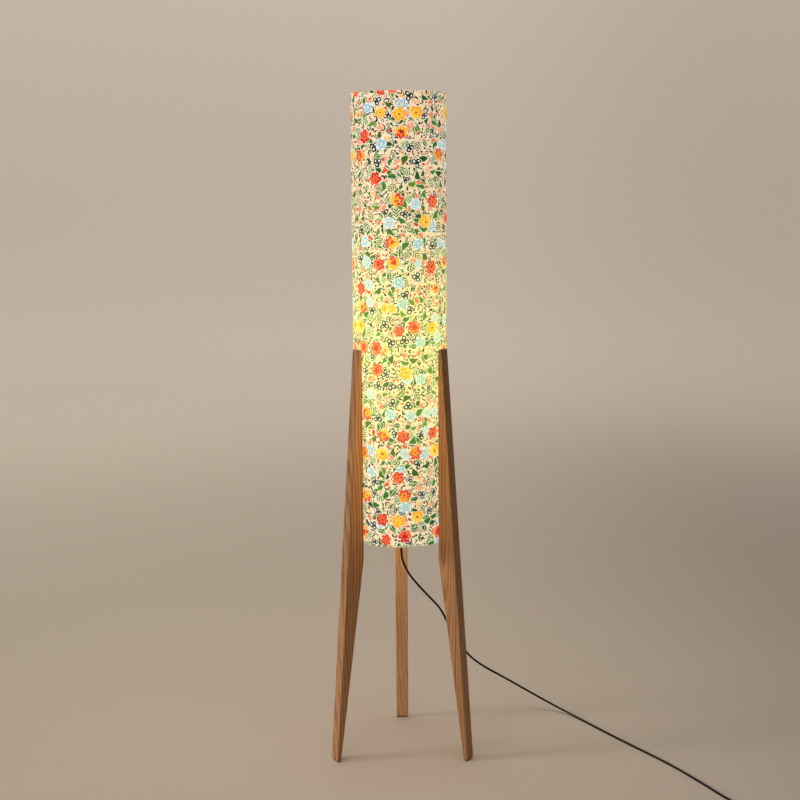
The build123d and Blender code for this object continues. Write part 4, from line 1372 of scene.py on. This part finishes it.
@dataclass(frozen=True)
class Lead:
    """The round black lead: a free run to the foot switch, then a tied coil and the plug."""

    diameter: float = 0.005
    first_length: float = 1.33
    second_length: float = 0.78
    coil_centre: tuple[float, float] = (0.7643, -0.5276)
    outer_turn: float = 0.0325
    inner_turn: float = 0.0275
    low_turn: float = 0.0035
    high_turn: float = 0.0085
    coil_enters: float = 26.0
    coil_sweep: float = 1196.0
    points_per_turn: int = 18
    crossing: float = 42.0
    round_steps: int = 5
    span_steps: int = 8
    sheath: Moulded = Moulded("black_sheath", ink(4, 4, 5), 0.5, 0.0006, 0.00001, 0.22)
    strap: Moulded = Moulded("black_strap", ink(26, 26, 27), 0.72, 0.0004, 0.00006)

    def coil(self) -> list[Point]:
        """Control points of the coil, clockwise seen from above.

        The turns lie outer low, inner low, inner high and outer high, and each crosses to the
        next beside the place where the lead comes in, one crossing after another.

        Returns:
            The control points, in metres.
        """
        # The middle of a span runs inside its control points by this share.
        shrink = 0.75 + 0.25 * math.cos(TURN / self.points_per_turn)
        count = round(self.coil_sweep / 360 * self.points_per_turn)
        lanes = ((self.outer_turn, self.low_turn), (self.inner_turn, self.low_turn),
                 (self.inner_turn, self.high_turn), (self.outer_turn, self.high_turn))
        points = []
        for index in range(count + 1):
            swept = self.coil_sweep * index / count
            radius, height = lanes[0]
            for lane in (1, 2, 3):
                ends = 360.0 * lane - self.crossing * (lane - 1)
                share = eased((swept - ends + self.crossing) / self.crossing)
                radius += (lanes[lane][0] - lanes[lane - 1][0]) * share
                height += (lanes[lane][1] - lanes[lane - 1][1]) * share
            angle = math.radians(self.coil_enters - swept)
            points.append((self.coil_centre[0] + radius / shrink * math.cos(angle),
                           self.coil_centre[1] + radius / shrink * math.sin(angle), height))
        return points

    def strand(self, name: str, points: Sequence[Point]) -> bpy.types.Object:
        """One smooth round strand along its control points.

        Args:
            name: The strand's name.
            points: Its control points, in metres.

        Returns:
            The new curve object.
        """
        data = bpy.data.curves.new(name, "CURVE")
        data.dimensions = "3D"
        data.bevel_depth = self.diameter / 2
        data.bevel_resolution = self.round_steps
        data.resolution_u = self.span_steps
        data.use_fill_caps = True
        spline = data.splines.new("NURBS")
        spline.points.add(len(points) - 1)
        for control, point in zip(spline.points, points):
            control.co = (*point, 1.0)
        spline.order_u = 3
        spline.use_endpoint_u = True
        return add_object(name, data)

    def build(self) -> None:
        """Build both strands and dress the lead's hidden ends."""
        sheath = self.sheath.material()
        metres = [[tuple(part / 1000 for part in point) for point in run]
                  for run in (LEAD_TO_SWITCH, LEAD_TO_COIL, LEAD_TO_PLUG)]
        first = self.strand("lead_to_switch", metres[0])
        seat(first, "lamp", sheath, ("cord_to_switch",))
        second = self.strand("lead_to_plug", [*metres[1], *self.coil(), *metres[2]])
        seat(second, "lamp", sheath, ("cord_to_coil", "cord_coil", "cord_to_plug"))
        dress(sheath, "lead_in_stem", "switch_cord_ends")
        dress(self.strap.material(), "cord_tie")


# ---------------------------------------------------------------- shade
@dataclass(frozen=True)
class Shade:
    """The drum: printed cloth turned in over two wire rings, on a stiff liner."""

    cloth_map: str = "cloth"
    glow_height: float = 0.940
    low_rim: float = 0.505
    high_rim: float = 1.500
    radius: float = 0.105
    cloth: float = 0.0006
    hem_face: float = 0.09895
    hem: float = 0.009
    edge_round: float = 0.0008
    seam_start: float = 109.5
    lap: float = 6.5
    climb: float = 10.5
    lap_gap: float = 0.00003
    steps: int = 224
    wall_rows: int = 40
    round_rows: int = 4
    hem_rows: int = 3
    back_strip: float = 0.035
    back_row: float = 0.014

    def width(self) -> float:
        """The cloth's flat width: once round, and the lap."""
        return self.radius * math.radians(360.0 + self.lap)

    def outline(self) -> list[tuple[float, float, float, float]]:
        """Trace half of the cloth's section, from the wall's middle over the rim to the hem's edge.

        Returns:
            The radius and height of the printed side and of the back side, for each row, with
            heights from the rim.
        """
        rise, turn = self.edge_round, self.edge_round * 0.25
        back = self.radius - self.cloth
        hem_back = self.hem_face + self.cloth
        half = (self.high_rim - self.low_rim) / 2
        rows = [(self.radius, half - (half - rise) * k / self.wall_rows, back,
                 half - (half - self.cloth - turn) * k / self.wall_rows) for k in range(self.wall_rows)]
        angles = [math.pi / 2 * k / self.round_rows for k in range(self.round_rows + 1)]
        quarter = [(1 - math.cos(angle), 1 - math.sin(angle)) for angle in angles]
        rows += [(self.radius - rise * c, rise * s, back - turn * c, self.cloth + turn * s)
                 for c, s in quarter]
        rows += [(self.hem_face + rise * s, rise * c, hem_back + turn * s, self.cloth + turn * c)
                 for c, s in quarter]
        for k in range(1, self.hem_rows + 1):
            height = rise + (self.hem - rise) * k / self.hem_rows
            rows.append((self.hem_face, height, hem_back, height))
        return rows

    def section(self) -> list[tuple[float, float, float, float]]:
        """Trace the whole section from the bottom hem to the top hem.

        Returns:
            The same as outline, with heights from the floor.
        """
        rows = self.outline()
        low = [(a, self.low_rim + b, c, self.low_rim + d) for a, b, c, d in rows]
        high = [(a, self.high_rim - b, c, self.high_rim - d) for a, b, c, d in rows]
        return low[::-1] + high[1:]

    def cover(self) -> bpy.types.Object:
        """The cloth as one closed sheet that laps over itself beside the rear leg.

        Returns:
            The new object.
        """
        rows = self.section()
        total = 360.0 + self.lap
        ease = total - self.lap - self.climb
        runs = [0.0]
        for before, after in zip(rows, rows[1:]):
            runs.append(runs[-1] + math.hypot(after[0] - before[0], after[1] - before[1]))
        middle = runs[len(rows) // 2]
        points, spots = [], []
        for step in range(self.steps + 1):
            swept = total * step / self.steps
            lift = eased((swept - ease) / self.climb) * (self.cloth + self.lap_gap)
            angle = math.radians(self.seam_start + swept)
            c, s = math.cos(angle), math.sin(angle)
            for index, (radius, height, back_radius, back_height) in enumerate(rows):
                ahead = rows[min(index + 1, len(rows) - 1)]
                behind = rows[max(index - 1, 0)]
                along = Vector((ahead[0] - behind[0], ahead[1] - behind[1])).normalized()
                out_radius, out_height = along.y * lift, -along.x * lift
                for r, z in ((radius + out_radius, height + out_height),
                             (back_radius + out_radius, back_height + out_height)):
                    points.append((r * c, r * s, z))
                    spots.append((self.radius * math.radians(swept),
                                  (self.low_rim + self.high_rim) / 2 + runs[index] - middle))
        count = len(rows)

        def at(step: int, row: int, side: int) -> int:
            """Number of a corner: side 0 is printed, side 1 is the back."""
            return (step * count + row) * 2 + side

        faces = []
        for step in range(self.steps):
            after = step + 1
            for row in range(count - 1):
                above = row + 1
                faces.append((at(step, row, 0), at(after, row, 0),
                              at(after, above, 0), at(step, above, 0)))
                faces.append((at(step, row, 1), at(step, above, 1),
                              at(after, above, 1), at(after, row, 1)))
            for row, order in ((0, 1), (count - 1, -1)):
                edge = (at(step, row, 0), at(step, row, 1), at(after, row, 1), at(after, row, 0))
                faces.append(edge[::order])
        for step, order in ((0, 1), (self.steps, -1)):
            for row in range(count - 1):
                edge = (at(step, row, 0), at(step, row + 1, 0), at(step, row + 1, 1), at(step, row, 1))
                faces.append(edge[::order])
        made = add_mesh("shade_cloth", points, faces, sharp=50.0)
        self.add_maps(made.data, spots)
        return made

    def add_maps(self, mesh: bpy.types.Mesh, spots: Sequence[tuple[float, float]]) -> None:
        """Lay the cloth's own map, and an even one that gives the printed side most room.

        Args:
            mesh: The cloth's mesh.
            spots: Where each corner lies on the flat cloth, in metres.
        """
        cloth = mesh.uv_layers.new(name=self.cloth_map)
        even = mesh.uv_layers.new(name="OFBake")
        wide = self.width()
        low, high = min(v for _, v in spots), max(v for _, v in spots)
        for face in mesh.polygons:
            printed = all(corner % 2 == 0 for corner in face.vertices)
            for loop in face.loop_indices:
                corner = mesh.loops[loop].vertex_index
                u, v = spots[corner]
                cloth.data[loop].uv = (u, v)
                share = (v - low) / (high - low)
                if printed:
                    up = self.back_strip + (1 - self.back_strip) * share
                else:
                    up = (share + corner % 2) * self.back_row
                even.data[loop].uv = (u / wide, up)

    def build(self) -> None:
        """Build the cloth, and dress the liner and the rings."""
        cotton = PrintedCotton().material()
        cloth = seat(self.cover(), "lamp", cotton, ("shade_cover",))
        wide = self.width()
        tall = self.high_rim - self.low_rim + 2 * (self.radius - self.hem_face + self.hem)
        liner = Lit("glowing_liner", ink(240, 232, 212), ink(255, 226, 172),
                    brightness=0.6, spread=0.26)
        dress(liner.material(), "shade_liner")
        dress(PowderCoat("white_ring_coat").material(), "shade_top_ring", "shade_bottom_ring")


# ---------------------------------------------------------------- legs
@dataclass(frozen=True)
class Legs:
    """Three oiled legs on felt pads, each held by two screws through the hoops."""

    boards: dict[str, Board] = field(default_factory=lambda: {
        # The rear leg's paler tones are partly painted light: they brighten it for the drum's glow and
        # the bounce that fall on it.
        "rear": Board(90.0, 3.1, (0.02, -0.19), ink(224, 182, 136), ink(188, 141, 96)),
        "front_left": Board(210.0, 11.7, (0.33, -0.06)),
        "front_right": Board(330.0, 23.9, (0.122, -0.034), ring=0.0046),
    })

    def build(self) -> None:
        """Dress each leg with its own board, and the pads and screws."""
        felt = Felt().material()
        for place, board in self.boards.items():
            dress(OiledAsh(f"oiled_ash_{place}", board).material(), f"leg_{place}")
            dress(felt, f"foot_pad_{place}")
        dress(Metal("turned_brass", ink(202, 164, 92), 0.34, Drawn.TURNED).material(), "leg_inserts")
        dress(Metal("zinc_plate", ink(188, 190, 190), 0.36).material(), "leg_washers", "leg_screws")


# ---------------------------------------------------------------- fittings
@dataclass(frozen=True)
class Fittings:
    """The spiders, stem, lampholder, bulb and cord grip inside the drum."""

    relief_top: float = 0.5055
    relief_length: float = 0.026
    relief_ends: tuple[float, float] = (0.0046, 0.0033)
    relief_lip: float = 0.001
    bulb: Lit = Lit("lit_opal_glass", ink(250, 246, 236), ink(255, 238, 196),
                    brightness=4.0, spread=0.6, roughness=0.3)
    filament: Lit = Lit("lit_filament", ink(255, 214, 120), ink(255, 204, 120),
                        brightness=6.0, spread=0.6)
    mount: Lit = Lit("lit_mount", ink(236, 238, 236), ink(255, 236, 200),
                     brightness=1.0, spread=0.6, roughness=0.2)

    def build(self) -> None:
        """Dress every fitting inside the shade."""
        zinc = Metal("zinc_thread", ink(176, 178, 178), 0.4, Drawn.TURNED).material()
        brass = Metal("pressed_brass", ink(198, 158, 84), 0.32).material()
        resin = Moulded("holder_resin", ink(24, 24, 25), 0.5, 0.0007, 0.00003).material()
        pale = Moulded("pale_insulator", ink(232, 229, 218), 0.45).material()
        dress(PowderCoat().material(), "upper_spider", "lower_spider")
        dress(zinc, "stem_tube", "stem_washers", "stem_nuts", "cord_grip_screw", "holder_cap_screw",
              "bulb_tip")
        dress(resin, "cord_grip", "holder_cap", "holder_skirt", "bulb_insulator")
        dress(pale, "holder_insulator", "bulb_collar")
        dress(brass, "holder_screw_shell", "holder_centre_contact", "holder_terminals")
        dress(Moulded("core_insulation", ink(120, 120, 124), 0.5).material(), "lead_cores")
        dress(Metal("rolled_cap", ink(206, 204, 198), 0.3, Drawn.TURNED).material(), "bulb_cap")
        rubber = Moulded("soft_black_rubber", ink(20, 20, 20), 0.62, 0.0005, 0.00004).material()
        down = Matrix.Translation((0.0, 0.0, self.relief_top)) @ Matrix.Rotation(math.pi / 2, 4, "Y")
        relief = ribbed_sleeve("relief_sleeve", down, self.relief_length, self.relief_ends,
                               self.relief_lip)
        seat(relief, "lamp", rubber, ("strain_relief",))
        dress(self.bulb.material(), "bulb_glass")
        dress(self.filament.material(), "bulb_filaments")
        dress(self.mount.material(), "bulb_mount")


@dataclass(frozen=True)
class FootSwitch:
    """The in-line foot switch: a gloss case, a ribbed button and two tapered sleeves."""

    centre: Point = (0.7458, -0.4154, 0.008)
    heading: float = -64.0
    case_half: float = 0.039
    sleeve: float = 0.020
    sleeve_ends: tuple[float, float] = (0.0045, 0.0033)
    button_top: float = 0.0265
    rib_pitch: float = 0.0034
    rib_half: float = 0.0006
    rib_rise: float = 0.0004
    rib_reach: float = 0.0098
    # How far each section of a rib stands from its end, and its share of the full size.
    rib_end: tuple[tuple[float, float], ...] = ((0.0, 0.0001), (0.0004, 0.7), (0.001, 1.0))
    rib_square: float = 2.4
    rib_steps: int = 20
    travel: float = 0.0035
    spring_radius: float = 0.005
    spring_wire: float = 0.0005
    spring_foot: float = 0.003103
    spring_head: float = 0.023397
    spring_turns: float = 7.5
    closed_turns: float = 0.75
    closed_pitch: float = 0.0012
    turn_steps: int = 28
    wire_steps: int = 10

    def sleeve_piece(self, name: str, turn: float) -> bpy.types.Object:
        """Build one tapered sleeve.

        Args:
            name: The sleeve's name.
            turn: The way from the case's heading to the end that it is on, in degrees.

        Returns:
            The new object.
        """
        place = lying(self.centre, self.heading + turn)
        place = place @ Matrix.Translation((self.case_half, 0.0, 0.0))
        return ribbed_sleeve(name, place, self.sleeve, self.sleeve_ends)

    def ribs(self) -> bpy.types.Object:
        """Build low rounded bars across the button for the foot's grip.

        Returns:
            The new object.
        """
        bars = []
        for index in range(-2, 3):
            aside = index * self.rib_pitch
            half = math.sqrt(self.rib_reach ** 2 - aside ** 2)
            place = lying((self.centre[0], self.centre[1], self.button_top), self.heading)
            place = place @ Matrix.Translation((aside, 0.0, 0.0)) @ Matrix.Rotation(math.pi / 2, 4, "Z")
            sections = [(back - half, share * self.rib_half, share * self.rib_rise, self.rib_square)
                        for back, share in self.rib_end]
            sections += [(-along, *rest) for along, *rest in reversed(sections)]
            bars.append(lofted_piece("bar", sections, place, self.rib_steps))
        return merged("switch_button_ribs", bars)

    def spring(self) -> bpy.types.Object:
        """Build the button's spring, with close turns at each end.

        Returns:
            The new object.
        """
        low, high = self.spring_foot + self.spring_wire, self.spring_head - self.spring_wire
        closed = self.closed_turns * self.closed_pitch
        pitch = (high - low - 2 * closed) / (self.spring_turns - 2 * self.closed_turns)
        steps, around = round(self.spring_turns * self.turn_steps), self.wire_steps
        last_open = self.spring_turns - self.closed_turns
        points = []
        for step in range(steps + 1):
            turns = self.spring_turns * step / steps
            open_turns = min(last_open, max(self.closed_turns, turns)) - self.closed_turns
            height = low + open_turns * pitch + min(turns, self.closed_turns) * self.closed_pitch
            height += max(0.0, turns - last_open) * self.closed_pitch
            c, s = math.cos(TURN * turns), math.sin(TURN * turns)
            for corner in range(around):
                angle = TURN * corner / around
                radius = self.spring_radius + self.spring_wire * math.cos(angle)
                points.append((self.centre[0] + radius * c, self.centre[1] + radius * s,
                               height - self.spring_wire * math.sin(angle)))
        faces = tube_faces(steps + 1, around, True)
        return add_mesh("switch_spring_coil", points, faces, sharp=50.0)

    def build(self) -> None:
        """Build the sleeves, the button's ribs and its spring, and dress the switch."""
        case = Moulded("switch_case", ink(20, 20, 21), 0.3, 0.0011, 0.00001).material()
        button = Moulded("switch_button_resin", ink(30, 30, 31), 0.42, 0.0006, 0.00002).material()
        rubber = Moulded("switch_rubber", ink(22, 22, 22), 0.66, 0.0004, 0.00004).material()
        for name, turn in (("switch_sleeve_near", 180.0), ("far_sleeve_of_switch", 0.0)):
            seat(self.sleeve_piece(name, turn), "lamp", rubber, ("switch_sleeves",))
        seat(self.ribs(), "switch_push", button)
        dress(case, "switch_base", "switch_cover")
        dress(button, "switch_button")
        dress(rubber, "switch_feet")
        dress(Metal("contact_brass", ink(200, 160, 88), 0.3, Drawn.BRUSHED).material(),
              "switch_contact_ring", "switch_contact_bars", "switch_terminals")
        wire = Metal("spring_wire", ink(170, 170, 172), 0.28).material()
        spring = seat(self.spring(), "lamp", wire, ("switch_spring",))
        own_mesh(spring)
        screw = Metal("small_screw_zinc", ink(184, 186, 186), 0.36, Drawn.TURNED)
        dress(screw.material(), "switch_screws")


@dataclass(frozen=True)
class Plug:
    """The moulded plug: a waisted body with finger bars, a ribbed sleeve and two flat blades."""

    lead_end: Point = (0.664, -0.538, 0.0075)
    heading: float = 160.0
    sleeve: float = 0.024
    sleeve_ends: tuple[float, float] = (0.0055, 0.0033)
    # Sections of the body: distance along, half width, half height and squareness.
    sections: tuple[tuple[float, float, float, float], ...] = (
        (0.0, 0.0052, 0.0050, 2.2), (0.0005, 0.0070, 0.0060, 2.4), (0.0020, 0.0090, 0.0066, 3.0),
        (0.0050, 0.0101, 0.0069, 3.6), (0.0100, 0.0099, 0.0070, 4.0), (0.0150, 0.0100, 0.0070, 4.4),
        (0.0195, 0.0110, 0.0071, 5.0), (0.0225, 0.0119, 0.0074, 6.0), (0.0240, 0.0120, 0.0075, 6.0),
        (0.0285, 0.0120, 0.0075, 6.0), (0.0296, 0.0118, 0.0073, 6.0), (0.0300, 0.0114, 0.0069, 6.0),
    )
    body_steps: int = 64
    bars: int = 5
    bar_pitch: float = 0.0032
    bar_start: float = 0.0055
    bar_aside: float = -0.0062
    bar_height: float = 0.0069
    bar_sections: tuple[tuple[float, float, float, float], ...] = (
        (0.0, 0.0002, 0.0001, 2.4), (0.0005, 0.0006, 0.0005, 2.4),
        (0.0119, 0.0006, 0.0005, 2.4), (0.0124, 0.0002, 0.0001, 2.4),
    )
    bar_steps: int = 16

    def back(self) -> Matrix:
        """The place of the body's back, where the sleeve meets it."""
        return lying(self.lead_end, self.heading) @ Matrix.Translation((self.sleeve, 0.0, 0.0))

    def sleeve_piece(self) -> bpy.types.Object:
        """Build the sleeve, thick end at the body."""
        place = self.back() @ Matrix.Rotation(math.pi, 4, "Z")
        return ribbed_sleeve("plug_ribbed_sleeve", place, self.sleeve, self.sleeve_ends)

    def body(self) -> bpy.types.Object:
        """Build the body and the bars on its two flat sides.

        Returns:
            The new object.
        """
        place = self.back()
        parts = [lofted_piece("body", self.sections, place, self.body_steps)]
        for index in range(self.bars):
            for side in (-1, 1):
                along = self.bar_start + index * self.bar_pitch
                bar = place @ Matrix.Translation((along, self.bar_aside, side * self.bar_height))
                bar = bar @ Matrix.Rotation(math.pi / 2, 4, "Z")
                parts.append(lofted_piece("bar", self.bar_sections, bar, self.bar_steps))
        return merged("plug_moulded_body", parts, sharp=32.0)

    def build(self) -> None:
        """Build the body and sleeve, and dress the blades."""
        resin = Moulded("plug_resin", ink(20, 20, 21), 0.4, 0.0008, 0.00002).material()
        rubber = Moulded("plug_rubber", ink(22, 22, 22), 0.6, 0.0004, 0.00004).material()
        seat(self.body(), "lamp", resin, ("plug_body",))
        seat(self.sleeve_piece(), "lamp", rubber, ("plug_sleeve",))
        dress(Metal("blade_brass", ink(206, 176, 112), 0.26, Drawn.BRUSHED).material(), "plug_blades")


def main() -> None:
    """Build the lamp's looks piece by piece."""
    logging.basicConfig(level=logging.INFO, format="%(name)s: %(message)s")
    parts = (Camera(), Studio(), FootSwitch(), Plug(), Lead(), Shade(), Legs(), Fittings())
    for part in parts:
        part.build()
        LOG.info("built %s", type(part).__name__)


if __name__ == "__main__":
    main()
